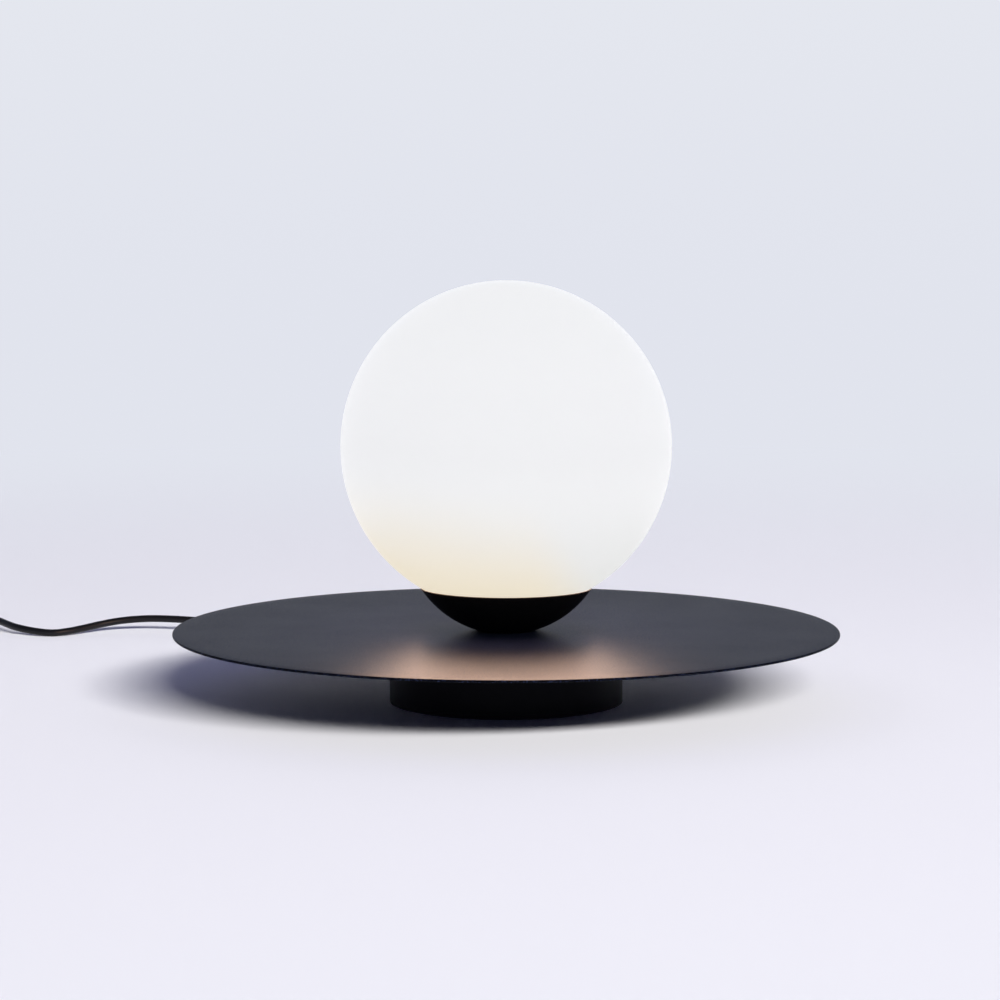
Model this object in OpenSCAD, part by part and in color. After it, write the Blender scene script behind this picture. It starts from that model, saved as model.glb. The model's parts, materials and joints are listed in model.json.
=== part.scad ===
// Ball table lamp: an opal glass globe in a small black cup, on a wide flat disc with a drum foot.
// Millimetres. Z is up, the floor is z = 0 and the lamp's axis is the Z axis. The cord leaves at +Y.

/* [Disc and foot] */
// Diameter of the flat disc
disc_d = 400; // [340:1:460]
// Thickness of the disc's sheet
disc_t = 1.5; // [1:0.1:3]
// Diameter of the drum foot
foot_d = 140; // [136:1:180]
// Height of the disc's underside above the floor
foot_h = 42.5; // [40:0.5:60]
// Wall of the drum foot
foot_wall = 1.5; // [1:0.1:2.5]
// Gap between the drum's lower edge and the floor
edge_gap = 1; // [0.5:0.1:2]
// Thickness of the felt ring that the lamp stands on
pad_t = 2.5; // [1.5:0.1:4]
// Width of the felt ring
pad_w = 9; // [5:0.5:12]
// Distance of the felt ring inside the edge of the bottom cover
pad_inset = 1.4; // [1:0.1:4]
// Thickness of the bottom cover
cover_t = 3; // [2.8:0.1:5]
// Thickness of the iron weight
ballast_h = 10; // [8:0.5:14]
// Distance of the weight's edge inside the rim of the cord's sleeve
ballast_edge = 5.8; // [1:0.1:7]
// Diameter of the hole in the middle of the weight
ballast_hole_d = 16; // [10:1:20]
// Diameter of the posts that hold the bottom cover
post_d = 8; // [7:0.5:10]
// Diameter of the circle that the posts stand on
post_circle_d = 98; // [90:1:104]

/* [Cup and globe] */
// Diameter of the cup at its rim
cup_rim_d = 104; // [90:1:116]
// Height of the cup
cup_h = 26.5; // [22:0.5:32]
// Diameter of the cup's flat base
cup_base_d = 33; // [32:1:44]
// Wall of the cup
cup_wall = 1.5; // [1:0.1:2.5]
// Diameter of the glass globe
globe_d = 198; // [170:1:230]
// Wall of the glass
globe_wall = 3; // [2:0.1:4]
// Outside diameter of the globe's neck
neck_d = 62; // [58:1:66]
// Length of the neck below the ball
neck_l = 6; // [4:0.5:7]
// Width of the silicone ring that the globe sits on
gasket_w = 5; // [3:0.5:8]
// Distance of the silicone ring inside the cup's rim
gasket_inset = 4.5; // [3.5:0.5:8]
// Sheet of the spring collar in the cup
collar_t = 1; // [0.6:0.1:1.5]
// Room between the collar's wall and the inside of the neck
spring_reach = 3.6; // [2:0.2:4.5]
// Height of the collar above the bottom of the neck
collar_rise = 9; // [7:0.5:14]
// Share of the turn that each spring tab takes, in degrees
spring_deg = 24; // [12:1:40]

/* [Threaded tube and nuts] */
// Diameter of the threaded tube through the middle
tube_d = 10; // [9:0.5:11]
// Bore of the threaded tube
tube_bore_d = 8; // [6.5:0.1:8]
// Length of thread that shows past each nut
thread_end = 1.5; // [1:0.1:3]
// Width of the nuts across their flats
nut_af = 14; // [13:0.5:17]
// Height of the nuts
nut_h = 4; // [3:0.5:5]
// Diameter of the washer
washer_d = 20; // [17:0.5:24]
// Thickness of the washer
washer_t = 1; // [0.8:0.1:2]

/* [Lampholder and bulb] */
// Height of the lampholder's underside above the disc
holder_rise = 20; // [18:0.5:26]
// Diameter of the lampholder's ceramic body
holder_d = 22; // [20:0.5:24]
// Height of the ceramic body
holder_h = 20; // [19:0.5:24]
// Thickness of the ceramic flange
flange_t = 3.5; // [3:0.1:5]
// Width of the holder's steel strap
strap_w = 12; // [10:0.5:14]
// Sheet of the steel strap
strap_t = 1.5; // [1:0.1:2]
// Length of each foot of the strap that carries the flange
strap_foot = 7; // [6.5:0.1:7.5]
// Thickness of the ceramic over the contacts
slot_top = 4; // [3:0.1:5]
// Room beside each pin in the ceramic
pocket_room = 1; // [0.5:0.1:1.2]
// Depth of the pockets for the contacts
pocket_d = 4.4; // [3.6:0.1:5]
// Sheet of the spring contacts
leaf_t = 0.5; // [0.3:0.05:0.6]
// Gap between a pin and its contacts
leaf_gap = 0.2; // [0.1:0.05:0.3]
// Diameter of the contacts' wire barrels
barrel_d = 3; // [2.6:0.1:3.4]
// Length of the contacts' wire barrels
barrel_l = 4; // [3:0.1:4.5]
// Height of the contacts' feet above the ceramic's underside
contact_rise = 1; // [0.6:0.1:1.5]
// Distance between the bulb's two pins
pin_pitch = 9; // [8.5:0.1:9.5]
// Width of a pin's wire loop
pin_w = 3.2; // [2.6:0.1:3.4]
// Thickness of the pin's wire
pin_t = 0.8; // [0.6:0.05:1]
// Length of the pins below the bulb
pin_l = 13; // [11:0.5:14]
// Diameter of the bulb
bulb_d = 16; // [16:0.5:20]
// Length of the bulb's frosted cover
bulb_l = 40; // [30:1:55]
// Wall of the bulb's frosted cover
bulb_wall = 1; // [0.8:0.1:2]
// Height of the bulb's round base
bulb_base_h = 7; // [5:0.5:12]
// Height of the tongue under the bulb's base
tongue_h = 4; // [3:0.5:6]
// Thickness of the tongue under the bulb's base
tongue_t = 6; // [4:0.5:8]
// Width of the light board inside the bulb
board_w = 9; // [6:0.5:10]
// Thickness of the light board
board_t = 1.2; // [0.8:0.1:2]
// Height of the light board
board_h = 28; // [20:1:34]
// Number of light chips in each row
chip_count = 5; // [2:1:8]
// Edge of a light chip
chip_w = 3; // [2:0.1:3.2]
// Thickness of a light chip
chip_t = 0.8; // [0.4:0.1:1.2]

/* [Wiring in the foot] */
// Diameter of the cord
cord_d = 4.8; // [3.6:0.1:5.2]
// Diameter of the insulated cores and leads
core_d = 1.8; // [1.4:0.1:2]
// Length of the tapered sleeve where the cord leaves the foot
relief_l = 28; // [20:1:50]
// Diameter of that sleeve where it passes the drum's wall
relief_d = 9; // [8:0.5:11]
// Rim of that sleeve on both sides of the drum's wall
relief_rim = 2; // [1:0.5:3]
// Wall of the rubber sleeves at their tips
sleeve_wall = 1.1; // [0.8:0.1:1.2]
// Number of grooves round the sleeve
groove_count = 5; // [2:1:8]
// Width of the cord clamp along the cord
clamp_w = 8; // [7:0.5:12]
// Length of the cord's sheath past the clamp
sheath_past_clamp = 3; // [1:0.5:4]
// Distance of the cord clamp from the lamp's axis
clamp_y = 44; // [42:0.5:48]
// Thickness of the clamp over the cord
clamp_t = 2.5; // [2:0.1:4]
// Distance of the clamp's screws from the cord's centre
clamp_screw_x = 8; // [7:0.5:11]
// Distance of the terminal block's near face from the lamp's axis
block_y = 13; // [11:0.5:14]
// Length of the terminal block along the wires
block_l = 14; // [13:0.5:16]
// Height of the terminal block
block_h = 13; // [12:0.5:15]
// Plastic wall round the brass tubes of the terminal block
block_wall = 2; // [1.5:0.1:3]
// Distance between the terminal block's two poles
pole_pitch = 12; // [11:0.5:14]
// Outside diameter of the brass tubes
brass_d = 5; // [4.5:0.1:5.5]
// Bore of the brass tubes
brass_bore_d = 3; // [2.4:0.1:3.4]
// Diameter of the clamping screws in the brass tubes
pole_screw_d = 2.5; // [2:0.1:3]

/* [Screws] */
// Diameter of the small screws
screw_d = 3; // [2.5:0.1:3.2]
// Diameter of the small screws' heads
head_d = 5.5; // [5:0.1:6]
// Height of the small screws' heads
head_t = 2; // [1.5:0.1:2.5]
// Length of the small screws
screw_l = 7; // [6:0.5:8]
// Diameter of the cover screws
cover_screw_d = 4; // [3:0.1:4.5]
// Diameter of the cover screws' heads
cover_head_d = 7.5; // [7:0.1:8.5]
// Height of the cover screws' heads
cover_head_t = 2; // [1.5:0.1:2.2]
// Length of the cover screws
cover_screw_l = 12; // [8:0.5:16]
// Depth of the drive recess in a screw's head
drive_depth = 1; // [0.5:0.1:1.2]

/* [Switch on the cord] */
// Length of the switch housing
switch_l = 62; // [60:1:76]
// Width of the switch housing
switch_w = 25; // [24:0.5:30]
// Height of the switch housing
switch_h = 17; // [16.5:0.5:20]
// Wall of the switch housing
switch_wall = 1.8; // [1.5:0.1:2.2]
// Rounding of the housing's edges
switch_edge = 4; // [2.5:0.1:5]
// Height of the split between the housing's two halves
split_z = 8.5; // [8:0.1:9]
// Length of the rocker
rocker_l = 19; // [16:0.5:20]
// Width of the rocker
rocker_w = 11; // [9:0.5:11.5]
// Tilt of the rocker to either side
rocker_tilt = 7; // [4:0.5:8]
// Depth of the rocker's pivot below the top of the housing
pivot_depth = 4.5; // [4:0.1:5]
// Height of the rocker's ends above its pivot
rocker_top = 5.6; // [5:0.1:6.5]
// Dip in the middle of the rocker's top
rocker_dip = 1.2; // [0.6:0.1:1.6]
// Diameter of the rocker's pin
rocker_pin_d = 2; // [1.5:0.1:2.4]
// Diameter of the hub round the pin
hub_d = 6; // [5:0.1:6.4]
// Thickness of the ears that hold the pin
ear_t = 2; // [1.6:0.1:2.4]
// Width of the ears that hold the pin
ear_w = 5; // [4.5:0.1:7]
// Length of the rubber sleeves at the ends of the switch
sleeve_l = 10; // [6:0.5:14]
// Diameter of those sleeves where they pass the housing's wall
sleeve_d = 7.8; // [7.6:0.1:8.4]
// Rim of those sleeves inside the housing's wall
sleeve_rim = 1; // [0.6:0.1:1.2]
// Number of grooves round those sleeves
sleeve_grooves = 2; // [1:1:4]
// Length of the cord's sheath inside the housing's wall
sheath_inside = 3.2; // [2.6:0.1:4]
// Thickness of those sleeves' inner rims
sleeve_rim_t = 1.5; // [1:0.1:2]
// Edge of the brass terminals
terminal_w = 6; // [5:0.1:6.4]
// Distance of the terminals from the middle of the switch
terminal_x = 16; // [14.5:0.5:17]
// Thickness of the contact strip
strip_t = 0.5; // [0.3:0.05:0.8]
// Width of the contact strip
strip_w = 4; // [3:0.1:5]
// Diameter of the housing screws
switch_screw_d = 2.5; // [2:0.1:3]
// Diameter of the posts for the housing screws
switch_post_d = 5; // [4.6:0.1:5.4]
// Distance of the housing screws from the middle of the switch
switch_screw_x = 20; // [19:0.5:21]
// Diameter of the housing screws' heads
switch_head_d = 4.5; // [4:0.1:5]

/* [Coil, tie and plug] */
// Outer radius of the coil at the middle of the cord
coil_r = 35; // [32:0.5:40]
// Turns that each layer of the coil spirals
layer_turns = 2.75; // [2.25:0.5:3.75]
// Gap between neighbouring turns
turn_gap = 0.5; // [0.45:0.05:1]
// Thickness of the tie round the coil
tie_t = 0.6; // [0.4:0.1:1.2]
// Width of the tie
tie_w = 6; // [4:0.5:10]
// Place of the tie round the coil, in degrees
tie_angle = 40; // [20:5:60]
// Length of the coil's straight end that runs into the plug
coil_tail = 24; // [22:1:40]
// Width of the plug's body
plug_w = 35; // [33:0.5:38]
// Length of the plug's body
plug_l = 34; // [30:0.5:40]
// Width of the plug's body at the cord
plug_neck_w = 14; // [12:0.5:18]
// Length of the plug's tapered tail
tail_l = 16; // [12:0.5:24]
// Diameter of the plug's tail at the body
tail_d = 10; // [9:0.5:11]
// Distance between the plug's pins
prong_pitch = 18.6; // [17:0.1:20]
// Diameter of the plug's pins
prong_d = 4; // [4:0.1:4.8]
// Length of the plug's pins
prong_l = 19; // [17:0.5:22]
// Length of the sleeve on each pin
prong_sleeve_l = 10; // [8:0.5:11]
// Wall of the sleeve on each pin
prong_sleeve_t = 0.4; // [0.3:0.05:0.6]
// Depth of the pins in the plug's body
prong_root = 12; // [8:0.5:14]

/* [Clearances] */
// Gap between the globe and what it sits in, and under the bulb
seat_gap = 0.3; // [0.2:0.05:0.5]
// Gap round a piece that passes through a hole
pass_gap = 0.1; // [0.05:0.01:0.15]
// Radial gap of the rocker on its pin
run_gap = 0.05; // [0.02:0.01:0.08]
// Gap round the rocker in its window
window_gap = 0.4; // [0.3:0.05:0.6]
// Gap between the drum and the pieces inside it
drum_gap = 0.4; // [0.2:0.1:0.8]

/* [Hidden] */
$fn = 96;
lots = 1000;
cut = 1;
join_gap = 0.05;

// Heights of the foot and of the stack on it
foot_r = foot_d / 2;
cover_r = foot_r - foot_wall - drum_gap;
ceiling_z = foot_h - foot_wall;
disc_top = foot_h + disc_t;
cover_top = pad_t + cover_t;
ballast_top = cover_top + ballast_h;
cord_z = ballast_top + cord_d / 2 + pass_gap;
washer_z = ceiling_z - washer_t;
lower_nut_z = washer_z - nut_h;
tube_low = lower_nut_z - thread_end;
cup_floor = disc_top + cup_wall;
collar_face = cup_floor + collar_t;
strap_face = collar_face + strap_t;
upper_nut_z = strap_face;
tube_top = upper_nut_z + nut_h + thread_end;

// The cup is a slice of a hollow ball, and the globe's ball passes through the top of its rim
rim_r = cup_rim_d / 2;
cup_mid = (pow(rim_r, 2) + pow(cup_h, 2) - pow(cup_base_d / 2, 2)) / (2 * cup_h);
cup_r = sqrt(pow(cup_base_d / 2, 2) + pow(cup_mid, 2));
cup_in = cup_r - cup_wall;
cup_floor_r = sqrt(pow(cup_in, 2) - pow(cup_mid - cup_wall, 2));
globe_r = globe_d / 2;
globe_z = disc_top + cup_h + sqrt(pow(globe_r, 2) - pow(rim_r, 2));
neck_r = neck_d / 2;
neck_in = neck_r - globe_wall;
neck_top = globe_z - sqrt(pow(globe_r, 2) - pow(neck_r, 2));
neck_low = neck_top - neck_l;

// Collar, strap and lampholder inside the cup
collar_r = neck_in - seat_gap - spring_reach;
collar_foot_r = cup_floor_r - drum_gap;
collar_top = neck_low + collar_rise;
strap_x = sqrt(pow(collar_foot_r - collar_t / 2, 2) - pow(strap_w / 2, 2));
flange_r = strap_x + strap_foot;
holder_screw_x = strap_x + strap_foot / 2;
holder_z = disc_top + holder_rise;
holder_top = holder_z + holder_h;
pin_x = pin_pitch / 2;
pocket_w = pin_w + 2 * pocket_room;
contact_z = holder_z + contact_rise;
barrel_low = contact_z - barrel_l;
bulb_z = holder_top + seat_gap;
bulb_base_z = bulb_z + tongue_h;
bulb_cover_z = bulb_base_z + bulb_base_h;

// Wiring in the foot
pole_x = pole_pitch / 2;
pole_z = ballast_top + block_wall + brass_d / 2 + pass_gap;
block_w = pole_pitch + brass_d + 2 * block_wall + 2 * pass_gap;
block_far = block_y + block_l;
pole_screw_y = [block_y + block_l / 4, block_far - block_l / 4];
sheath_end = clamp_y - clamp_w / 2 - sheath_past_clamp;
lead_x = core_d / 2 + seat_gap;
bare_gap = 0.5;
wire_end = 2;
sleeve_tip_d = cord_d + 2 * sleeve_wall;

// The switch lies along X, with the lamp's side towards +X
switch_at = [-434, 340];
pivot_z = switch_h - pivot_depth;
sheath_in = switch_l / 2 - switch_wall - sheath_inside;
ear_y = rocker_w / 2 + window_gap;
window_l = 2 * (norm([rocker_l / 2, rocker_top]) * cos(atan2(rocker_top, rocker_l / 2) - rocker_tilt)
    + window_gap);
switch_screw_y = switch_w / 2 - switch_edge - switch_post_d / 2;
switch_head_t = (switch_head_d - switch_screw_d) / 2;
shank_hole_d = switch_screw_d + 2 * pass_gap;

// The coil, and the plug that its outer end runs to
coil_at = [-480, 252];
turn_step = cord_d + turn_gap;
coil_in = coil_r - layer_turns * turn_step;
lower_layer = tie_t + pass_gap + cord_d / 2;
upper_layer = lower_layer + turn_step;
plug_h = 2 * upper_layer;
climb_turns = 0.5;
coil_turns = 2 * layer_turns + climb_turns;
loop_rings = 24;
coil_sides = 6;
plug_at = [coil_at[0] - coil_r, coil_at[1] - coil_tail + tail_l / 2];
prong_core_d = prong_d - 2 * prong_sleeve_t;
exit_fall = 0.3;

// Route of the cord from the foot to the switch: x, y and height above lying on the floor
floor_run = [
    [-1, 122, 13], [-4, 138, 9], [-9, 154, 5], [-17, 171, 2], [-29, 190, 0.4], [-45, 210, 0],
    [-65, 231, 0], [-88, 251, 0], [-113, 269, 0.2], [-140, 284, 1], [-167, 294, 2.6], [-192, 300, 4.4],
    [-215, 303, 5.6], [-229, 305.5, 6], [-242, 307.5, 6], [-255, 307, 5.4], [-266, 304.5, 4.4],
    [-276, 300, 3], [-287, 292, 1.4], [-297, 284, 0.4], [-307, 280, 0], [-320, 283, 1],
    [-333, 292, 2.4], [-345, 308, 4], [-354, 322, 5], [-364, 332, 5.8], [-377, 338, 6.2]
];

// Route of the cord from the switch to the coil
coil_run = [
    [-489, 338.5, 5.6], [-499, 334, 4.4], [-507, 326, 3], [-513, 314, 1.6], [-515, 300, 0.9],
    [-515, 285, 0.7]
];

function lying(run) = [for (p = run) [p[0], p[1], p[2] + cord_d / 2 + join_gap]];

lamp_route = concat(
    [[0, foot_r + relief_l / 2, cord_z], [0, foot_r + relief_l, cord_z]],
    [[0, foot_r + relief_l + 2 * cord_d, cord_z - exit_fall]],
    lying(floor_run),
    [[switch_at[0] + switch_l / 2 + sleeve_l + cord_d, switch_at[1], split_z]],
    [[switch_at[0] + switch_l / 2 + sleeve_l, switch_at[1], split_z]],
    [[switch_at[0] + sheath_in, switch_at[1], split_z]]
);
plug_route = concat(
    [[switch_at[0] - sheath_in, switch_at[1], split_z]],
    [[switch_at[0] - switch_l / 2 - sleeve_l, switch_at[1], split_z]],
    [[switch_at[0] - switch_l / 2 - sleeve_l - cord_d, switch_at[1], split_z]],
    lying(coil_run),
    [[coil_at[0] - coil_r, coil_at[1] + cord_d + join_gap, lower_layer]]
);

// A smooth curve through points, and a closed tube of triangles along one
function unit(v) = v / norm(v);
function curve_at(a, b, c, d, t) =
    0.5 * (2 * b + (c - a) * t + (2 * a - 5 * b + 4 * c - d) * t * t + (3 * b - a - 3 * c + d) * t * t * t);
function smooth(p, steps) = concat(
    [for (i = [0 : len(p) - 2]) for (k = [0 : steps - 1])
        curve_at(p[max(i - 1, 0)], p[i], p[i + 1], p[min(i + 2, len(p) - 1)], k / steps)],
    [p[len(p) - 1]]
);
function heading(p, i) = unit(p[min(i + 1, len(p) - 1)] - p[max(i - 1, 0)]);
function ring(at, along, across, r, sides) =
    let (u = unit(cross(across, along)), v = cross(along, u))
    [for (s = [0 : sides - 1]) at + r * (cos(360 * s / sides) * u + sin(360 * s / sides) * v)];

module tube(path, d, sides, across) {
    last = (len(path) - 1) * sides;
    points = [for (i = [0 : len(path) - 1]) each ring(path[i], heading(path, i), across, d / 2, sides)];
    walls = [for (i = [0 : len(path) - 2]) for (s = [0 : sides - 1])
        let (a = i * sides + s, b = i * sides + (s + 1) % sides)
        each [[a, a + sides, b + sides], [a, b + sides, b]]];
    near_end = [for (s = [1 : sides - 2]) [0, s, s + 1]];
    far_end = [for (s = [1 : sides - 2]) [last, last + s + 1, last + s]];
    polyhedron(points = points, faces = concat(walls, near_end, far_end));
}

// Points of the coil: in along the floor, up a layer in the half turn inside, and out again on top
function coil_radius(turn) =
    turn < coil_turns / 2 ? coil_r - turn_step * turn : coil_r - turn_step * (coil_turns - turn);
function coil_height(turn) =
    lower_layer + turn_step * min(max(turn - layer_turns, 0), climb_turns) / climb_turns;
function coil_point(turn) = [
    coil_at[0] + coil_radius(turn) * cos(180 + 360 * turn),
    coil_at[1] + coil_radius(turn) * sin(180 + 360 * turn),
    coil_height(turn)
];
coil_steps = coil_turns * loop_rings;
coil_loops = [for (i = [0 : coil_steps]) coil_point(i / loop_rings)];
coil_path = concat(
    [[coil_at[0] - coil_r, coil_at[1] + cord_d, lower_layer]],
    coil_loops,
    [[coil_at[0] - coil_r, coil_at[1] - coil_tail, upper_layer]]
);
coil_gap = min([for (i = [0 : len(coil_loops) - 1]) for (j = [i + loop_rings / 2 : len(coil_loops) - 1])
    norm(coil_loops[i] - coil_loops[j])]) - cord_d;
echo("least gap of the coil to itself", coil_gap);

// A pan-head screw with its shank down and the underside of its head at z = 0
module pan_screw(d, l, head, head_h) {
    difference() {
        union() {
            cylinder(d = head, h = head_h);
            translate([0, 0, -l]) cylinder(d = d, h = l);
        }
        translate([0, 0, head_h - drive_depth]) cylinder(d = d, h = drive_depth + cut, $fn = 6);
    }
}

// Three places round the axis
module at_posts() {
    for (turn = [30, 150, 270]) rotate([0, 0, turn]) translate([post_circle_d / 2, 0, 0]) children();
}

// A hexagon nut on the threaded tube
module hex_nut(z) {
    translate([0, 0, z]) difference() {
        cylinder(d = nut_af / cos(30), h = nut_h, $fn = 6);
        translate([0, 0, -cut]) cylinder(d = tube_d + 2 * pass_gap, h = nut_h + 2 * cut);
    }
}

// The hole that the threaded tube passes through
module tube_hole() {
    cylinder(d = tube_d + 2 * pass_gap, h = lots);
}

module foot_pad() {
    color("dimgray") difference() {
        cylinder(r = cover_r - pad_inset, h = pad_t);
        translate([0, 0, -cut]) cylinder(r = cover_r - pad_inset - pad_w, h = pad_t + 2 * cut);
    }
}

module bottom_cover() {
    color("black") translate([0, 0, pad_t]) difference() {
        cylinder(r = cover_r, h = cover_t);
        at_posts() {
            translate([0, 0, -cut]) cylinder(d = cover_screw_d + 2 * pass_gap, h = cover_t + 2 * cut);
            translate([0, 0, -cut]) cylinder(d = cover_head_d + 2 * pass_gap, h = cover_head_t + cut);
        }
    }
}

module cover_screws() {
    color("silver") at_posts() translate([0, 0, pad_t + cover_head_t]) rotate([180, 0, 0])
        pan_screw(cover_screw_d, cover_screw_l, cover_head_d, cover_head_t);
}

module cover_posts() {
    color("silver") at_posts() translate([0, 0, cover_top]) difference() {
        cylinder(d = post_d, h = ceiling_z - cover_top);
        translate([0, 0, -cut]) cylinder(d = cover_screw_d + 2 * pass_gap, h = cover_screw_l + cut);
    }
}

module ballast_weight() {
    color("#3a3a3c") translate([0, 0, cover_top]) difference() {
        cylinder(r = foot_r - foot_wall - drum_gap - relief_rim - ballast_edge, h = ballast_h);
        translate([0, 0, -cut]) cylinder(d = ballast_hole_d, h = ballast_h + 2 * cut);
        at_posts() translate([0, 0, -cut]) cylinder(d = post_d + 2 * drum_gap, h = ballast_h + 2 * cut);
        for (side = [-1, 1]) translate([side * clamp_screw_x, clamp_y, -cut])
            cylinder(d = screw_d + 2 * pass_gap, h = ballast_h + 2 * cut);
        translate([0, block_y + block_l / 2, -cut])
            cylinder(d = screw_d + 2 * pass_gap, h = ballast_h + 2 * cut);
    }
}

module foot_shell() {
    color("#15151b") difference() {
        translate([0, 0, edge_gap]) cylinder(r = foot_r, h = foot_h - edge_gap);
        cylinder(r = foot_r - foot_wall, h = ceiling_z);
        tube_hole();
        translate([0, 0, cord_z]) rotate([-90, 0, 0]) cylinder(d = relief_d + 2 * pass_gap, h = lots);
    }
}

module disc_plate() {
    color("#2c2d35") difference() {
        translate([0, 0, foot_h]) cylinder(d = disc_d, h = disc_t);
        tube_hole();
    }
}

module threaded_tube() {
    color("silver") translate([0, 0, tube_low]) difference() {
        cylinder(d = tube_d, h = tube_top - tube_low);
        translate([0, 0, -cut]) cylinder(d = tube_bore_d, h = lots);
    }
}

module lower_nut() {
    color("silver") hex_nut(lower_nut_z);
}

module lower_washer() {
    color("silver") translate([0, 0, washer_z]) difference() {
        cylinder(d = washer_d, h = washer_t);
        translate([0, 0, -cut]) cylinder(d = tube_d + 2 * pass_gap, h = washer_t + 2 * cut);
    }
}

module upper_nut() {
    color("silver") hex_nut(upper_nut_z);
}

module globe_cup() {
    color("#0c0c0f") rotate_extrude() difference() {
        intersection() {
            translate([0, disc_top + cup_mid]) circle(r = cup_r);
            translate([0, disc_top]) square([rim_r + cut, cup_h]);
        }
        intersection() {
            translate([0, disc_top + cup_mid]) circle(r = cup_in);
            translate([0, cup_floor]) square([rim_r + cut, cup_h]);
        }
        translate([0, globe_z]) circle(r = globe_r + seat_gap);
        square([tube_d / 2 + pass_gap, lots]);
    }
}

module spring_collar() {
    waist = neck_low - seat_gap;
    tab_low = waist;
    tab_mid = (neck_low + neck_top) / 2;
    tab_high = 2 * tab_mid - tab_low;
    root = collar_r - collar_t / 2;
    tip = neck_in - seat_gap;
    color("silver") {
        rotate_extrude() polygon([
            [tube_d / 2 + pass_gap, cup_floor], [collar_foot_r, cup_floor], [collar_r, waist],
            [collar_r, collar_top], [collar_r - collar_t, collar_top],
            [collar_r - collar_t, waist + collar_t / 2],
            [collar_foot_r - collar_t / 4, collar_face], [tube_d / 2 + pass_gap, collar_face]
        ]);
        for (turn = [90, 210, 330]) rotate([0, 0, turn - spring_deg / 2])
            rotate_extrude(angle = spring_deg) polygon([
                [root, tab_low], [tip, tab_mid], [root, tab_high], [root, tab_high - collar_t],
                [tip - collar_t, tab_mid], [root, tab_low + collar_t]
            ]);
    }
}

module globe_gasket() {
    outer = rim_r - cup_wall - gasket_inset;
    color("gainsboro") rotate_extrude() difference() {
        intersection() {
            translate([0, disc_top + cup_mid]) circle(r = cup_in - pass_gap);
            translate([outer - gasket_w, cup_floor]) square([gasket_w, cup_h]);
        }
        translate([0, globe_z]) circle(r = globe_r + seat_gap);
    }
}

module opal_globe() {
    color("ivory") rotate_extrude() difference() {
        intersection() {
            union() {
                translate([0, globe_z]) circle(r = globe_r);
                translate([0, neck_low]) square([neck_r, globe_z - neck_low]);
            }
            translate([0, neck_low]) square([globe_r + cut, lots]);
        }
        translate([0, globe_z]) circle(r = globe_r - globe_wall);
        translate([0, neck_low - cut]) square([neck_in, globe_z - neck_low]);
    }
}

module holder_strap() {
    color("silver") difference() {
        union() {
            translate([-strap_x, -strap_w / 2, collar_face]) cube([2 * strap_x, strap_w, strap_t]);
            for (side = [0, 1]) mirror([side, 0, 0]) {
                translate([strap_x - strap_t, -strap_w / 2, collar_face])
                    cube([strap_t, strap_w, holder_z - collar_face]);
                translate([strap_x - strap_t, -strap_w / 2, holder_z - strap_t])
                    cube([strap_t + strap_foot - strap_t / 2, strap_w, strap_t]);
            }
        }
        tube_hole();
        for (side = [-1, 1]) translate([side * holder_screw_x, 0, collar_face])
            cylinder(d = screw_d + 2 * pass_gap, h = lots);
    }
}

module lampholder() {
    color("whitesmoke") translate([0, 0, holder_z]) difference() {
        union() {
            intersection() {
                cylinder(r = flange_r, h = flange_t);
                translate([-flange_r, -strap_w / 2, 0]) cube([2 * flange_r, strap_w, flange_t]);
            }
            cylinder(d = holder_d, h = holder_h);
        }
        for (side = [-1, 1]) {
            translate([side * holder_screw_x, 0, -cut])
                cylinder(d = screw_d + 2 * pass_gap, h = flange_t + 2 * cut);
            translate([side * pin_x - pocket_w / 2, -pocket_d / 2, -cut])
                cube([pocket_w, pocket_d, holder_h - slot_top + cut]);
            translate([side * pin_x - pin_w / 2 - leaf_gap, -pin_t / 2 - leaf_gap, 0])
                cube([pin_w + 2 * leaf_gap, pin_t + 2 * leaf_gap, holder_h + cut]);
        }
    }
}

module holder_screws() {
    color("silver") for (side = [-1, 1]) translate([side * holder_screw_x, 0, holder_z + flange_t])
        pan_screw(screw_d, screw_l, head_d, head_t);
}

module holder_contacts() {
    leaf_l = holder_h - slot_top - contact_rise - pass_gap;
    color("goldenrod") for (side = [-1, 1]) translate([side * pin_x, 0, contact_z]) {
        translate([-pin_w / 2, -pin_t / 2 - leaf_gap - leaf_t, 0])
            cube([pin_w, pin_t + 2 * leaf_gap + 2 * leaf_t, leaf_t]);
        for (face = [0, 1]) mirror([0, face, 0])
            translate([-pin_w / 2, pin_t / 2 + leaf_gap, 0]) cube([pin_w, leaf_t, leaf_l]);
        translate([0, 0, -barrel_l]) difference() {
            cylinder(d = barrel_d, h = barrel_l);
            translate([0, 0, -cut]) cylinder(d = core_d + 2 * pass_gap, h = barrel_l - leaf_t + cut);
        }
    }
}

module bulb_base() {
    tongue_w = pin_pitch + pin_w + 2 * bulb_wall;
    color("white") {
        translate([-tongue_w / 2, -tongue_t / 2, bulb_z]) cube([tongue_w, tongue_t, tongue_h]);
        translate([0, 0, bulb_base_z]) cylinder(d = bulb_d, h = bulb_base_h);
    }
}

module bulb_pins() {
    color("silver") for (side = [-1, 1]) translate([side * pin_x, pin_t / 2, bulb_z]) rotate([90, 0, 0])
        linear_extrude(pin_t) difference() {
            union() {
                translate([-pin_w / 2, -pin_l + pin_w / 2]) square([pin_w, pin_l - pin_w / 2]);
                translate([0, -pin_l + pin_w / 2]) circle(d = pin_w);
            }
            translate([-pin_w / 2 + pin_t, -pin_l + pin_w / 2])
                square([pin_w - 2 * pin_t, pin_l - pin_w / 2 - pin_t]);
            translate([0, -pin_l + pin_w / 2]) circle(d = pin_w - 2 * pin_t);
        }
}

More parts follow.
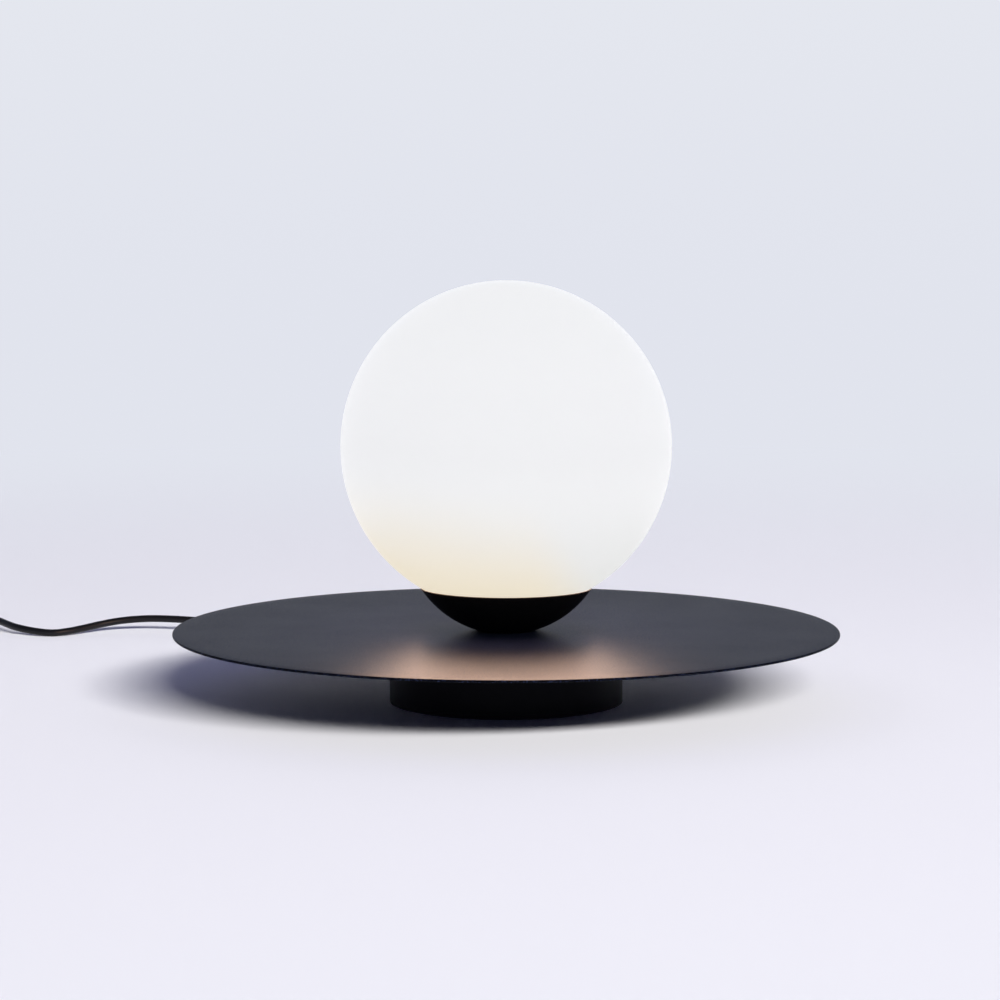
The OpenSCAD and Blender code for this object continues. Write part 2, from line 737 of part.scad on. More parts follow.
module bulb_board() {
    chip_step = board_h / chip_count;
    color("lightyellow") translate([0, 0, bulb_cover_z]) {
        translate([-board_w / 2, -board_t / 2, 0]) cube([board_w, board_t, board_h]);
        for (face = [0, 1]) mirror([0, face, 0]) for (i = [0 : chip_count - 1])
            translate([-chip_w / 2, board_t / 2, (i + 0.5) * chip_step - chip_w / 2])
                cube([chip_w, chip_t, chip_w]);
    }
}

module bulb_cover() {
    shoulder = bulb_cover_z + bulb_l - bulb_d / 2;
    color("white") rotate_extrude() difference() {
        intersection() {
            union() {
                translate([0, bulb_cover_z]) square([bulb_d / 2, shoulder - bulb_cover_z]);
                translate([0, shoulder]) circle(d = bulb_d);
            }
            translate([0, bulb_cover_z]) square([bulb_d, lots]);
        }
        translate([0, bulb_cover_z - cut]) square([bulb_d / 2 - bulb_wall, shoulder - bulb_cover_z + cut]);
        translate([0, shoulder]) circle(d = bulb_d - 2 * bulb_wall);
    }
}

// A flexible sleeve with a round rim on both sides of a wall, its tail along +Z from the wall's face
module bend_sleeve(d, rim, rim_t, wall, tail, tip_d, grooves) {
    groove_step = tail / (grooves + 2);
    rotate_extrude() difference() {
        polygon([
            [0, -wall - rim_t], [d / 2 + rim, -wall - rim_t], [d / 2 + rim, -wall], [d / 2, -wall],
            [d / 2, pass_gap], [d / 2 + rim / 2, pass_gap], [d / 2 + rim / 2, pass_gap + rim_t],
            [tip_d / 2, tail], [0, tail]
        ]);
        translate([0, -lots / 2]) square([cord_d / 2 + pass_gap, lots]);
        for (i = [1 : 1 : grooves]) translate([tip_d / 2, rim_t + i * groove_step])
            square([d, groove_step / 3]);
    }
}

module strain_relief() {
    color("#101012") translate([0, foot_r, cord_z]) rotate([-90, 0, 0])
        bend_sleeve(relief_d, relief_rim, relief_rim, foot_wall + drum_gap, relief_l, sleeve_tip_d,
            groove_count);
}

module cord_tail() {
    color("#131316") translate([0, sheath_end, cord_z]) rotate([-90, 0, 0])
        cylinder(d = cord_d, h = foot_r + relief_l / 2 - join_gap - sheath_end);
}

module cord_clamp() {
    clamp_x = clamp_screw_x + head_d / 2 + pass_gap;
    color("white") translate([0, clamp_y, ballast_top]) difference() {
        translate([-clamp_x, -clamp_w / 2, 0]) cube([2 * clamp_x, clamp_w, cord_d + clamp_t]);
        translate([0, clamp_w, cord_z - ballast_top]) rotate([90, 0, 0])
            cylinder(d = cord_d + 2 * pass_gap, h = 2 * clamp_w);
        translate([-cord_d / 2 - pass_gap, -clamp_w, -cut])
            cube([cord_d + 2 * pass_gap, 2 * clamp_w, cord_z - ballast_top + cut]);
        for (side = [-1, 1]) translate([side * clamp_screw_x, 0, -cut])
            cylinder(d = screw_d + 2 * pass_gap, h = lots);
    }
}

module clamp_screws() {
    reach = cord_d + clamp_t + screw_l - head_t;
    color("silver") for (side = [-1, 1])
        translate([side * clamp_screw_x, clamp_y, ballast_top + cord_d + clamp_t])
            pan_screw(screw_d, reach, head_d, head_t);
}

module terminal_block() {
    color("white") difference() {
        translate([-block_w / 2, block_y, ballast_top]) cube([block_w, block_l, block_h]);
        for (side = [-1, 1]) {
            translate([side * pole_x, block_y - cut, pole_z]) rotate([-90, 0, 0])
                cylinder(d = brass_d + 2 * pass_gap, h = block_l + 2 * cut);
            for (y = pole_screw_y) translate([side * pole_x, y, pole_z])
                cylinder(d = pole_screw_d + 2 * pass_gap, h = lots);
        }
        translate([0, block_y + block_l / 2, 0]) cylinder(d = screw_d + 2 * pass_gap, h = lots);
        translate([0, block_y + block_l / 2, ballast_top + block_wall])
            cylinder(d = head_d + 2 * pass_gap, h = lots);
    }
}

module terminal_tubes() {
    color("goldenrod") for (side = [-1, 1]) difference() {
        translate([side * pole_x, block_y, pole_z]) rotate([-90, 0, 0]) cylinder(d = brass_d, h = block_l);
        translate([side * pole_x, block_y - cut, pole_z]) rotate([-90, 0, 0])
            cylinder(d = brass_bore_d, h = block_l + 2 * cut);
        for (y = pole_screw_y) translate([side * pole_x, y, pole_z])
            cylinder(d = pole_screw_d + 2 * pass_gap, h = brass_d);
    }
}

module terminal_screws() {
    low = pole_z + core_d / 2 + pass_gap;
    high = ballast_top + block_h - drive_depth;
    color("silver") {
        for (side = [-1, 1]) for (y = pole_screw_y) translate([side * pole_x, y, low]) difference() {
            cylinder(d = pole_screw_d, h = high - low);
            translate([0, 0, high - low - drive_depth])
                cylinder(d = pole_screw_d / 2, h = drive_depth + cut, $fn = 6);
        }
        translate([0, block_y + block_l / 2, ballast_top + block_wall])
            pan_screw(screw_d, screw_l, head_d, head_t);
    }
}

// An insulated core from the cord's sheath to its pole, on one side
function core_route(side) = [
    [side * lead_x, sheath_end - bare_gap, cord_z], [side * lead_x, sheath_end - bare_gap - wire_end, cord_z],
    [side * (lead_x + pole_x) / 2, (sheath_end + block_far) / 2, (cord_z + pole_z) / 2],
    [side * pole_x, block_far + wire_end, pole_z], [side * pole_x, block_far - bare_gap, pole_z],
    [side * pole_x, block_far - block_l / 2 + bare_gap, pole_z]
];

// A lead from its pole up through the threaded tube to the lampholder, on one side
function lead_route(side) = concat(
    [[side * pole_x, block_y + block_l / 2 - bare_gap, pole_z], [side * pole_x, block_y + bare_gap, pole_z]],
    [[side * pole_x, block_y - wire_end, pole_z]],
    [[side * (pole_x + lead_x) / 2, block_y / 3, (2 * pole_z + tube_low) / 3]],
    [[side * lead_x, 0, tube_low - wire_end]],
    [for (share = [0 : 0.25 : 1]) [side * lead_x, 0, tube_low + share * (tube_top - tube_low)]],
    [[side * (lead_x + pin_x) / 2, 0, (tube_top + barrel_low) / 2]],
    [[side * pin_x, 0, barrel_low - bare_gap], [side * pin_x, 0, barrel_low + bare_gap]],
    [[side * pin_x, 0, contact_z - leaf_t - bare_gap]]
);

module live_core() {
    color("saddlebrown") tube(smooth(core_route(1), 4), core_d, 8, [0, 0, 1]);
}

module neutral_core() {
    color("royalblue") tube(smooth(core_route(-1), 4), core_d, 8, [0, 0, 1]);
}

module live_lead() {
    color("saddlebrown") tube(smooth(lead_route(1), 4), core_d, 8, [1, 0, 0]);
}

module neutral_lead() {
    color("royalblue") tube(smooth(lead_route(-1), 4), core_d, 8, [1, 0, 0]);
}

module cord_lamp_side() {
    color("#131316") tube(smooth(lamp_route, 2), cord_d, 12, [0, 0, 1]);
}

module cord_plug_side() {
    color("#131316") tube(smooth(plug_route, 2), cord_d, 12, [0, 0, 1]);
}

module cord_coil() {
    color("#131316") tube(coil_path, cord_d, coil_sides, [0, 0, 1]);
}

module coil_tie() {
    low_r = coil_in - turn_step / 4 - cord_d / 2 - pass_gap;
    high_r = coil_r + cord_d / 2 + pass_gap;
    top_z = upper_layer + cord_d / 2 + pass_gap;
    color("dimgray") translate([coil_at[0], coil_at[1], 0]) rotate([0, 0, tie_angle])
        translate([0, tie_w / 2, 0]) rotate([90, 0, 0]) linear_extrude(tie_w) difference() {
            translate([low_r - tie_t, 0]) square([high_r - low_r + 2 * tie_t, top_z + tie_t]);
            translate([low_r, tie_t]) square([high_r - low_r, top_z - tie_t]);
        }
}

// A long body with round ends along X, between two heights, with rounded edges
module pill(l, w, low, high, edge) {
    module side() {
        translate([0, low]) square([w / 2 - edge, high - low]);
        translate([0, low + edge]) square([w / 2, high - low - 2 * edge]);
        for (z = [low + edge, high - edge]) translate([w / 2 - edge, z]) circle(r = edge);
    }
    module half() {
        intersection() {
            side();
            translate([0, low - cut]) square([w, high - low + 2 * cut]);
        }
    }
    rotate([90, 0, 90]) translate([0, 0, -(l - w) / 2]) linear_extrude(l - w) {
        half();
        mirror([1, 0]) half();
    }
    translate([(l - w) / 2, 0, 0]) rotate([0, 0, -90]) rotate_extrude(angle = 180) half();
    translate([-(l - w) / 2, 0, 0]) rotate([0, 0, 90]) rotate_extrude(angle = 180) half();
}

module switch_outside() {
    pill(switch_l, switch_w, 0, switch_h, switch_edge);
}

module switch_inside() {
    pill(switch_l - 2 * switch_wall, switch_w - 2 * switch_wall, switch_wall, switch_h - switch_wall,
        switch_edge - switch_wall);
}

module at_switch() {
    translate([switch_at[0], switch_at[1], 0]) children();
}

module at_switch_screws() {
    for (side = [-1, 1]) translate([side * switch_screw_x, switch_screw_y, 0]) children();
}

module sleeve_holes() {
    translate([-lots / 2, 0, split_z]) rotate([0, 90, 0]) cylinder(d = sleeve_d + 2 * pass_gap, h = lots);
}

module switch_base() {
    color("#17171a") at_switch() {
        difference() {
            intersection() {
                switch_outside();
                translate([-lots / 2, -lots / 2, 0]) cube([lots, lots, split_z]);
            }
            switch_inside();
            sleeve_holes();
            at_switch_screws() {
                translate([0, 0, -cut]) cylinder(d = shank_hole_d, h = switch_wall + 2 * cut);
                cylinder(d1 = switch_head_d + 2 * pass_gap, d2 = shank_hole_d, h = switch_head_t);
            }
        }
        for (side = [0, 1]) mirror([0, side, 0]) translate([-ear_w / 2, ear_y, switch_wall]) difference() {
            cube([ear_w, ear_t, pivot_z + rocker_pin_d - switch_wall]);
            translate([ear_w / 2, -cut, pivot_z - switch_wall]) rotate([-90, 0, 0])
                cylinder(d = rocker_pin_d + run_gap, h = ear_t + 2 * cut);
        }
    }
}

module switch_cover() {
    color("#17171a") at_switch() {
        difference() {
            intersection() {
                switch_outside();
                translate([-lots / 2, -lots / 2, split_z]) cube([lots, lots, lots]);
            }
            switch_inside();
            sleeve_holes();
            translate([-window_l / 2, -rocker_w / 2 - window_gap, pivot_z])
                cube([window_l, rocker_w + 2 * window_gap, lots]);
        }
        at_switch_screws() translate([0, 0, switch_wall + pass_gap]) difference() {
            cylinder(d = switch_post_d, h = switch_h - 2 * switch_wall - pass_gap);
            translate([0, 0, -cut]) cylinder(d = shank_hole_d, h = screw_l + cut);
        }
    }
}

module switch_rocker() {
    half = rocker_l / 2;
    color("#202024") at_switch() translate([0, 0, pivot_z]) rotate([0, rocker_tilt, 0]) difference() {
        union() {
            translate([0, rocker_w / 2, 0]) rotate([90, 0, 0]) linear_extrude(rocker_w) polygon([
                [-half, rocker_dip], [-half, rocker_top], [0, rocker_top - rocker_dip], [half, rocker_top],
                [half, rocker_dip]
            ]);
            translate([0, rocker_w / 2, 0]) rotate([90, 0, 0]) cylinder(d = hub_d, h = rocker_w);
        }
        translate([0, rocker_w, 0]) rotate([90, 0, 0])
            cylinder(d = rocker_pin_d + 2 * run_gap, h = 2 * rocker_w);
    }
}

module rocker_pin() {
    span = ear_y + ear_t;
    color("silver") at_switch() translate([0, span, pivot_z]) rotate([90, 0, 0])
        cylinder(d = rocker_pin_d, h = 2 * span);
}

module switch_sleeves() {
    wall_dip = pow(sleeve_d / 2 + sleeve_rim, 2) / (switch_w - 2 * switch_wall);
    color("#101012") at_switch() for (side = [0, 1]) mirror([side, 0, 0])
        translate([switch_l / 2, 0, split_z]) rotate([0, 90, 0])
            bend_sleeve(sleeve_d, sleeve_rim, sleeve_rim_t, switch_wall + wall_dip + pass_gap, sleeve_l,
                sleeve_tip_d, sleeve_grooves);
}

module switch_terminals() {
    color("goldenrod") at_switch() for (side = [-1, 1]) difference() {
        translate([side * terminal_x - terminal_w / 2, -terminal_w / 2, switch_wall])
            cube([terminal_w, terminal_w, terminal_w]);
        translate([side * terminal_x - terminal_w, 0, switch_wall + terminal_w / 2]) rotate([0, 90, 0])
            cylinder(d = core_d + 2 * pass_gap, h = 2 * terminal_w);
    }
}

module contact_strip() {
    color("goldenrod") at_switch()
        translate([-terminal_x - terminal_w / 2, -strip_w / 2, switch_wall + terminal_w])
            cube([2 * terminal_x + terminal_w, strip_w, strip_t]);
}

module switch_cores() {
    low = switch_wall + core_d / 2 + seat_gap;
    dip = (split_z - low) / 3;
    aside = terminal_w / 2 + core_d / 2 + seat_gap;
    live_z = switch_wall + terminal_w / 2;
    start = sheath_in - bare_gap;
    terminal_end = terminal_x + terminal_w / 2;
    through = [
        [start, -lead_x, split_z], [start - wire_end / 2, -lead_x, split_z],
        [start - 1.5 * wire_end, -(lead_x + aside) / 2, split_z - dip],
        [terminal_end + core_d / 2, -aside, low + dip], [terminal_x - terminal_w / 2, -aside, low]
    ];
    joined = [
        [start, lead_x, split_z], [start - wire_end / 2, lead_x, split_z],
        [start - 1.5 * wire_end, lead_x / 2, (split_z + live_z) / 2],
        [terminal_end + wire_end / 2, 0, live_z], [terminal_end, 0, live_z], [terminal_x, 0, live_z]
    ];
    color("royalblue") at_switch() {
        tube(smooth(concat(
            [for (p = through) [-p[0], p[1], p[2]]],
            [for (i = [len(through) - 1 : -1 : 0]) through[i]]
        ), 3), core_d, 8, [0, 0, 1]);
        for (side = [-1, 1])
            tube(smooth([for (p = joined) [side * p[0], p[1], p[2]]], 3), core_d, 8, [0, 0, 1]);
    }
}

module switch_screws() {
    color("silver") at_switch() at_switch_screws() difference() {
        union() {
            cylinder(d1 = switch_head_d, d2 = switch_screw_d, h = switch_head_t);
            cylinder(d = switch_screw_d, h = switch_wall + screw_l);
        }
        translate([0, 0, -cut]) cylinder(d = switch_screw_d / 2, h = drive_depth + cut, $fn = 6);
    }
}

// The plug lies with its cord towards +Y and its pins towards -Y
module at_plug() {
    translate([plug_at[0], plug_at[1], plug_h / 2]) rotate([90, 0, 0]) children();
}

module plug_body() {
    edge = plug_h / 5;
    body_z = tail_l - cut;
    face_z = tail_l + plug_l;
    color("#151518") at_plug() difference() {
        union() {
            cylinder(d1 = sleeve_tip_d, d2 = tail_d, h = tail_l);
            intersection() {
                translate([0, plug_h / 2, 0]) rotate([90, 0, 0]) linear_extrude(plug_h) polygon([
                    [-plug_neck_w / 2, body_z], [plug_neck_w / 2, body_z],
                    [plug_w / 2, body_z + plug_l / 2], [plug_w / 2, face_z - edge],
                    [plug_w / 2 - edge, face_z], [-plug_w / 2 + edge, face_z],
                    [-plug_w / 2, face_z - edge], [-plug_w / 2, body_z + plug_l / 2]
                ]);
                translate([-plug_w / 2, 0, 0]) rotate([90, 0, 90]) linear_extrude(plug_w) polygon([
                    [-tail_d / 2, body_z], [tail_d / 2, body_z], [plug_h / 2, body_z + plug_l / 3],
                    [plug_h / 2, face_z - edge / 2], [plug_h / 2 - edge / 2, face_z],
                    [-plug_h / 2 + edge / 2, face_z], [-plug_h / 2, face_z - edge / 2],
                    [-plug_h / 2, body_z + plug_l / 3]
                ]);
            }
            for (side = [-1, 1]) translate([side * prong_pitch / 2, 0, face_z - cut])
                cylinder(d = prong_d, h = prong_sleeve_l + cut);
        }
        translate([0, 0, -cut]) cylinder(d = cord_d + 2 * pass_gap, h = tail_l / 2 + cut);
        for (side = [-1, 1]) translate([side * prong_pitch / 2, 0, face_z - prong_root])
            cylinder(d = prong_core_d + 2 * pass_gap, h = lots);
    }
}

module plug_pins() {
    face_z = tail_l + plug_l;
    color("silver") at_plug() for (side = [-1, 1]) translate([side * prong_pitch / 2, 0, face_z]) {
        translate([0, 0, -prong_root]) cylinder(d = prong_core_d, h = prong_root + prong_sleeve_l + cut);
        translate([0, 0, prong_sleeve_l]) cylinder(d = prong_d, h = prong_l - prong_sleeve_l - prong_d / 2);
        translate([0, 0, prong_l - prong_d / 2]) sphere(d = prong_d);
    }
}

foot_pad();
bottom_cover();
cover_screws();
cover_posts();
ballast_weight();
foot_shell();
disc_plate();
threaded_tube();
lower_nut();
lower_washer();
upper_nut();
globe_cup();
spring_collar();
globe_gasket();
opal_globe();
holder_strap();
lampholder();
holder_screws();
holder_contacts();
bulb_base();
bulb_pins();
bulb_board();
bulb_cover();
strain_relief();
cord_tail();
cord_clamp();
clamp_screws();
terminal_block();
terminal_tubes();
terminal_screws();
live_core();
neutral_core();
live_lead();
neutral_lead();
cord_lamp_side();
switch_base();
switch_cover();
switch_rocker();
rocker_pin();
switch_sleeves();
switch_terminals();
contact_strip();
switch_cores();
switch_screws();
cord_plug_side();
cord_coil();
coil_tie();
plug_body();
plug_pins();
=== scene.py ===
import json
import math

import bmesh
import bpy
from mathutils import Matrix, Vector

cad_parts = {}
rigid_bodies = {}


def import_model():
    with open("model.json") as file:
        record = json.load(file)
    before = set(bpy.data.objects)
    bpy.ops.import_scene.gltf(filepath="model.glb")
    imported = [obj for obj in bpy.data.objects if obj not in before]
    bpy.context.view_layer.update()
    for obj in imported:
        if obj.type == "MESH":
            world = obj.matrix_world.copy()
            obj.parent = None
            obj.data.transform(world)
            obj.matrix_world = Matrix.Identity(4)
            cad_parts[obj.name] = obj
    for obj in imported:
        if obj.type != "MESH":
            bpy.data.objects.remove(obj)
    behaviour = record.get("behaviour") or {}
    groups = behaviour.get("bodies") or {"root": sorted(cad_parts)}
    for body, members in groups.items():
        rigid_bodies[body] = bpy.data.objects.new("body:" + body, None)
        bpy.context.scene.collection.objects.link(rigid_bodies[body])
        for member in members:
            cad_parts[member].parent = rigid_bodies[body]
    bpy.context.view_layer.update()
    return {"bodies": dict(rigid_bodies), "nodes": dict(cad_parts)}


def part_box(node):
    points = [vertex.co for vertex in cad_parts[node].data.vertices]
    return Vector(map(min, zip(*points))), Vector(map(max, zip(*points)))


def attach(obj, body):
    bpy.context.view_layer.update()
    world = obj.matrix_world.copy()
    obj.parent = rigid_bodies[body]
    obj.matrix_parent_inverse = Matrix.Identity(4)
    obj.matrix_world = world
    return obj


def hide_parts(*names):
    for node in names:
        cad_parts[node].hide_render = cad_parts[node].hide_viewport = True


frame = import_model()
scene = bpy.context.scene
scene.view_settings.view_transform = "Standard"


# Studio
# A pale paper sweep runs under the lamp and curves up behind it. A wide soft box stands far off in front on
# the right, a second one in the same place lights only the paper, and a dim cool air fills the shadows.

class Signal:
    """A value in a node tree; arithmetic on it adds the nodes that work it out."""

    def __init__(self, tree, socket):
        self.tree = tree
        self.socket = socket

    def math(self, operation, first, second=0.0):
        node = self.tree.nodes.new("ShaderNodeMath")
        node.operation = operation
        for place, value in zip(node.inputs, (first, second)):
            if isinstance(value, Signal):
                self.tree.links.new(value.socket, place)
            else:
                place.default_value = value
        return Signal(self.tree, node.outputs[0])

    def __add__(self, other):
        return self.math("ADD", self, other)

    __radd__ = __add__

    def __sub__(self, other):
        return self.math("SUBTRACT", self, other)

    def __rsub__(self, other):
        return self.math("SUBTRACT", other, self)

    def __mul__(self, other):
        return self.math("MULTIPLY", self, other)

    __rmul__ = __mul__

    def __truediv__(self, other):
        return self.math("DIVIDE", self, other)

    def __rtruediv__(self, other):
        return self.math("DIVIDE", other, self)

    def at_most(self, other):
        return self.math("MINIMUM", self, other)


class Bench:
    """A node tree being made: adds a node with its settings and sockets and gives back an output."""

    def __init__(self, tree):
        self.tree = tree

    def feed(self, node, socket, value):
        place = next(s for s in node.inputs if socket in (s.identifier, s.name) and s.enabled)
        if isinstance(value, Signal):
            self.tree.links.new(value.socket, place)
        elif place.type == "RGBA":
            place.default_value = (*value, 1.0)
        else:
            place.default_value = value

    def node(self, kind, settings, sockets, output=0):
        node = self.tree.nodes.new(kind)
        for setting, value in settings.items():
            if setting == "stops":
                for stop in value[1:-1]:
                    node.color_ramp.elements.new(stop[0])
                for element, (place, colour) in zip(node.color_ramp.elements, value):
                    element.position = place
                    element.color = (*colour, 1.0)
            else:
                setattr(node, setting, value)
        for socket, value in sockets.items():
            self.feed(node, socket, value)
        return Signal(self.tree, node.outputs[output])

    def blend(self, share, first, second):
        return self.node("ShaderNodeMix", {"data_type": "RGBA"},
                         {"Factor_Float": share, "A_Color": first, "B_Color": second}, 2)

    def rise(self, value, low, high):
        """0 below low, 1 above high, and a soft step between them."""
        return self.node("ShaderNodeMapRange", {"interpolation_type": "SMOOTHSTEP"},
                         {"Value": value, "From Min": low, "From Max": high})

    def part(self, vector, axis):
        return self.node("ShaderNodeSeparateXYZ", {}, {"Vector": vector}, axis)


class Finish(Bench):
    """A material being made: its main shader, the place on the piece and what feeds them."""

    def __init__(self, name, **values):
        self.material = bpy.data.materials.new(name)
        self.material.use_nodes = True
        super().__init__(self.material.node_tree)
        self.shader = self.tree.nodes["Principled BSDF"]
        self.where = self.node("ShaderNodeTexCoord", {}, {}, "Object")
        self.set(**values)

    def set(self, **values):
        for socket, value in values.items():
            self.feed(self.shader, socket.replace("_", " "), value)
        return self

    def grain(self, scale, detail=2.0, stretch=(1.0, 1.0, 1.0)):
        at = self.node("ShaderNodeMapping", {}, {"Vector": self.where, "Scale": stretch})
        return self.node("ShaderNodeTexNoise", {}, {"Vector": at, "Scale": scale, "Detail": detail})

    def bump(self, height, strength, distance):
        return self.node("ShaderNodeBump", {},
                         {"Height": height, "Strength": strength, "Distance": distance})


def new_piece(name, verts, faces, material):
    mesh = bpy.data.meshes.new(name)
    mesh.from_pydata([tuple(v) for v in verts], [], faces)
    mesh.polygons.foreach_set("use_smooth", [True] * len(mesh.polygons))
    mesh.materials.append(material)
    mesh.update()
    piece = bpy.data.objects.new(name, mesh)
    scene.collection.objects.link(piece)
    return piece


def seen_by_eye(bench):
    """1 where a ray comes from the lens, from a mirror or through glass, and 0 where it only lights."""
    lens_ray, mirror_ray, glass_ray = (bench.node("ShaderNodeLightPath", {}, {}, f"Is {way} Ray")
                                       for way in ("Camera", "Glossy", "Transmission"))
    return (lens_ray + mirror_ray + glass_ray).at_most(1.0)


FLOOR_FRONT = -7.0
SWEEP_START = 2.0
SWEEP_RADIUS = 1.4
WALL_TOP = 1.5
SWEEP_HALF = 7.0
SWEEP_STEPS = 24
PAPER = (0.83, 0.84, 0.89)
PAPER_FAR = (0.755, 0.775, 0.85)
PAPER_HIGH = (0.785, 0.805, 0.865)
PAPER_TOP_PAINTED_SHADE = (0.28, 0.36, 0.60)
PAPER_PATCH = 0.99
HIGH_BAND = (0.05, 0.7)
TOP_SHADE_BAND = (0.5, 1.05)
AWAY_BAND = (0.45, 1.7)

paper = Finish("paper_sweep", Roughness=0.95, Specular_IOR_Level=0.1)
paper.set(Base_Color=paper.blend(paper.grain(1.4, 1.0), tuple(PAPER_PATCH * c for c in PAPER), PAPER))
paper_away = paper.node("ShaderNodeVectorMath", {"operation": "LENGTH"}, {"Vector": paper.where}, "Value")
paper_height = paper.part(paper.where, "Z")
paper_wall = paper.blend(paper.rise(paper_height, *HIGH_BAND), PAPER_FAR, PAPER_HIGH)
# Painted shade: the top of the wall is painted darker and bluer, as if the light fell off there.
paper_wall = paper.blend(paper.rise(paper_height, *TOP_SHADE_BAND), paper_wall, PAPER_TOP_PAINTED_SHADE)
backdrop = paper.node("ShaderNodeEmission", {}, {"Color": paper_wall, "Strength": 1.0})
paper_mix = paper.node("ShaderNodeMixShader", {}, {
    "Fac": seen_by_eye(paper) * paper.rise(paper_away, *AWAY_BAND),
    "Shader": Signal(paper.tree, paper.shader.outputs[0]), "Shader_001": backdrop})
paper.feed(paper.tree.nodes["Material Output"], "Surface", paper_mix)

sweep_line = [(FLOOR_FRONT, 0.0)]
for step in range(SWEEP_STEPS + 1):
    turn = math.pi / 2 * step / SWEEP_STEPS
    sweep_line.append((SWEEP_START + SWEEP_RADIUS * math.sin(turn), SWEEP_RADIUS * (1 - math.cos(turn))))
sweep_line.append((SWEEP_START + SWEEP_RADIUS, WALL_TOP))
sweep_verts = [(side * SWEEP_HALF, y, z) for y, z in sweep_line for side in (-1, 1)]
sweep_faces = [(2 * i, 2 * i + 1, 2 * i + 3, 2 * i + 2) for i in range(len(sweep_line) - 1)]
sweep = new_piece("paper_sweep", sweep_verts, sweep_faces, paper.material)

AIR_LOW = (0.50, 0.55, 0.70)
AIR_HIGH = (0.13, 0.14, 0.18)
AIR_LIGHT = (0.065, 0.068, 0.15)
AIR_BAND = (0.1, 0.42)
scene.world = bpy.data.worlds.new("studio_air")
scene.world.use_nodes = True
air = Bench(scene.world.node_tree)
air_height = air.part(air.node("ShaderNodeTexCoord", {}, {}, "Generated"), "Z")
air_seen = air.blend(air.rise(air_height, *AIR_BAND), AIR_LOW, AIR_HIGH)
air.feed(air.tree.nodes["Background"], "Color", air.blend(seen_by_eye(air), AIR_LIGHT, air_seen))

BOX_PLACE = (4.65, -11.9, 5.7)
BOX_AIM = (0.0, 0.0, 0.05)
BOX_SIZE = (8.5, 1.3)
FRONT_POWER = 1750.0
FRONT_LIGHT = (1.0, 0.98, 0.93)
PAPER_POWER = 2540.0
PAPER_LIGHT = (0.98, 0.945, 0.91)


def soft_box(name, power, colour):
    lamp = bpy.data.lights.new(name, "AREA")
    lamp.shape = "RECTANGLE"
    lamp.size, lamp.size_y = BOX_SIZE
    lamp.energy = power
    lamp.color = colour
    holder = bpy.data.objects.new(name, lamp)
    holder.location = BOX_PLACE
    holder.rotation_euler = (Vector(BOX_AIM) - Vector(BOX_PLACE)).to_track_quat("-Z", "Y").to_euler()
    holder.visible_camera = False
    scene.collection.objects.link(holder)
    return holder


front_box = soft_box("front_box", FRONT_POWER, FRONT_LIGHT)
front_box.visible_glossy = False
paper_box = soft_box("paper_box", PAPER_POWER, PAPER_LIGHT)
paper_only = bpy.data.collections.new("lit_by_paper_box")
paper_only.objects.link(sweep)
paper_box.light_linking.receiver_collection = paper_only

LENS_PLACE = (-0.0037, -2.2449, 0.3595)
LENS_TILT_DEG = 6.03
LENS_MM = 135.7
SENSOR_MM = 36.0
lens = bpy.data.cameras.new("camera")
lens.lens = LENS_MM
lens.sensor_width = SENSOR_MM
camera = bpy.data.objects.new("camera", lens)
camera.location = LENS_PLACE
camera.rotation_euler = (math.radians(90 - LENS_TILT_DEG), 0.0, 0.0)
scene.collection.objects.link(camera)
scene.camera = camera


# Switch
# An in-line rocker switch: two half shells of black plastic screwed together round the cord, a rubber sleeve
# at each end, a glossier rocker on a steel pin and brass inside. A bar and a ring mark on and off.

MM = 0.001
GRAIN_DEPTH = 0.0003
PATCH_RATIO = 14
MERGE_WITHIN = 1e-6


def moulded(name, colour, other, rough, swing, scale, strength, stretch=(1.0, 1.0, 1.0), **fixed):
    """A finish with a fine grain in its surface and slow patches in its colour and gloss."""
    finish = Finish(name, **fixed)
    fine = finish.grain(scale, 3.0, stretch)
    patch = finish.grain(scale / PATCH_RATIO, 2.0)
    return finish.set(Base_Color=finish.blend(patch, colour, other), Roughness=rough + swing * patch,
                      Normal=finish.bump(fine, strength, GRAIN_DEPTH))


def coat(finish, *nodes):
    for node in nodes:
        frame["nodes"][node].material_slots[0].material = finish.material


shell_plastic = moulded("switch_plastic", (0.014, 0.014, 0.016), (0.02, 0.02, 0.022),
                        rough=0.46, swing=0.16, scale=1600.0, strength=0.3)
rocker_plastic = moulded("rocker_plastic", (0.017, 0.017, 0.019), (0.022, 0.022, 0.024),
                         rough=0.27, swing=0.12, scale=1200.0, strength=0.1)
rubber = moulded("black_rubber", (0.013, 0.013, 0.014), (0.02, 0.02, 0.021),
                 rough=0.6, swing=0.2, scale=1100.0, strength=0.3)
brass = moulded("brass", (0.72, 0.52, 0.22), (0.62, 0.43, 0.18),
                rough=0.26, swing=0.16, scale=420.0, strength=0.1, Metallic=1.0)
zinc = moulded("zinc_steel", (0.6, 0.61, 0.63), (0.5, 0.51, 0.54),
               rough=0.28, swing=0.2, scale=380.0, strength=0.12, Metallic=1.0)
blue_skin = moulded("blue_insulation", (0.035, 0.12, 0.42), (0.03, 0.1, 0.36),
                    rough=0.4, swing=0.12, scale=900.0, strength=0.08)
coat(shell_plastic, "switch_base", "switch_cover")
coat(rocker_plastic, "switch_rocker")
coat(rubber, "switch_sleeves")
coat(brass, "switch_terminals", "contact_strip")
coat(zinc, "rocker_pin", "switch_screws")
coat(blue_skin, "switch_cores")

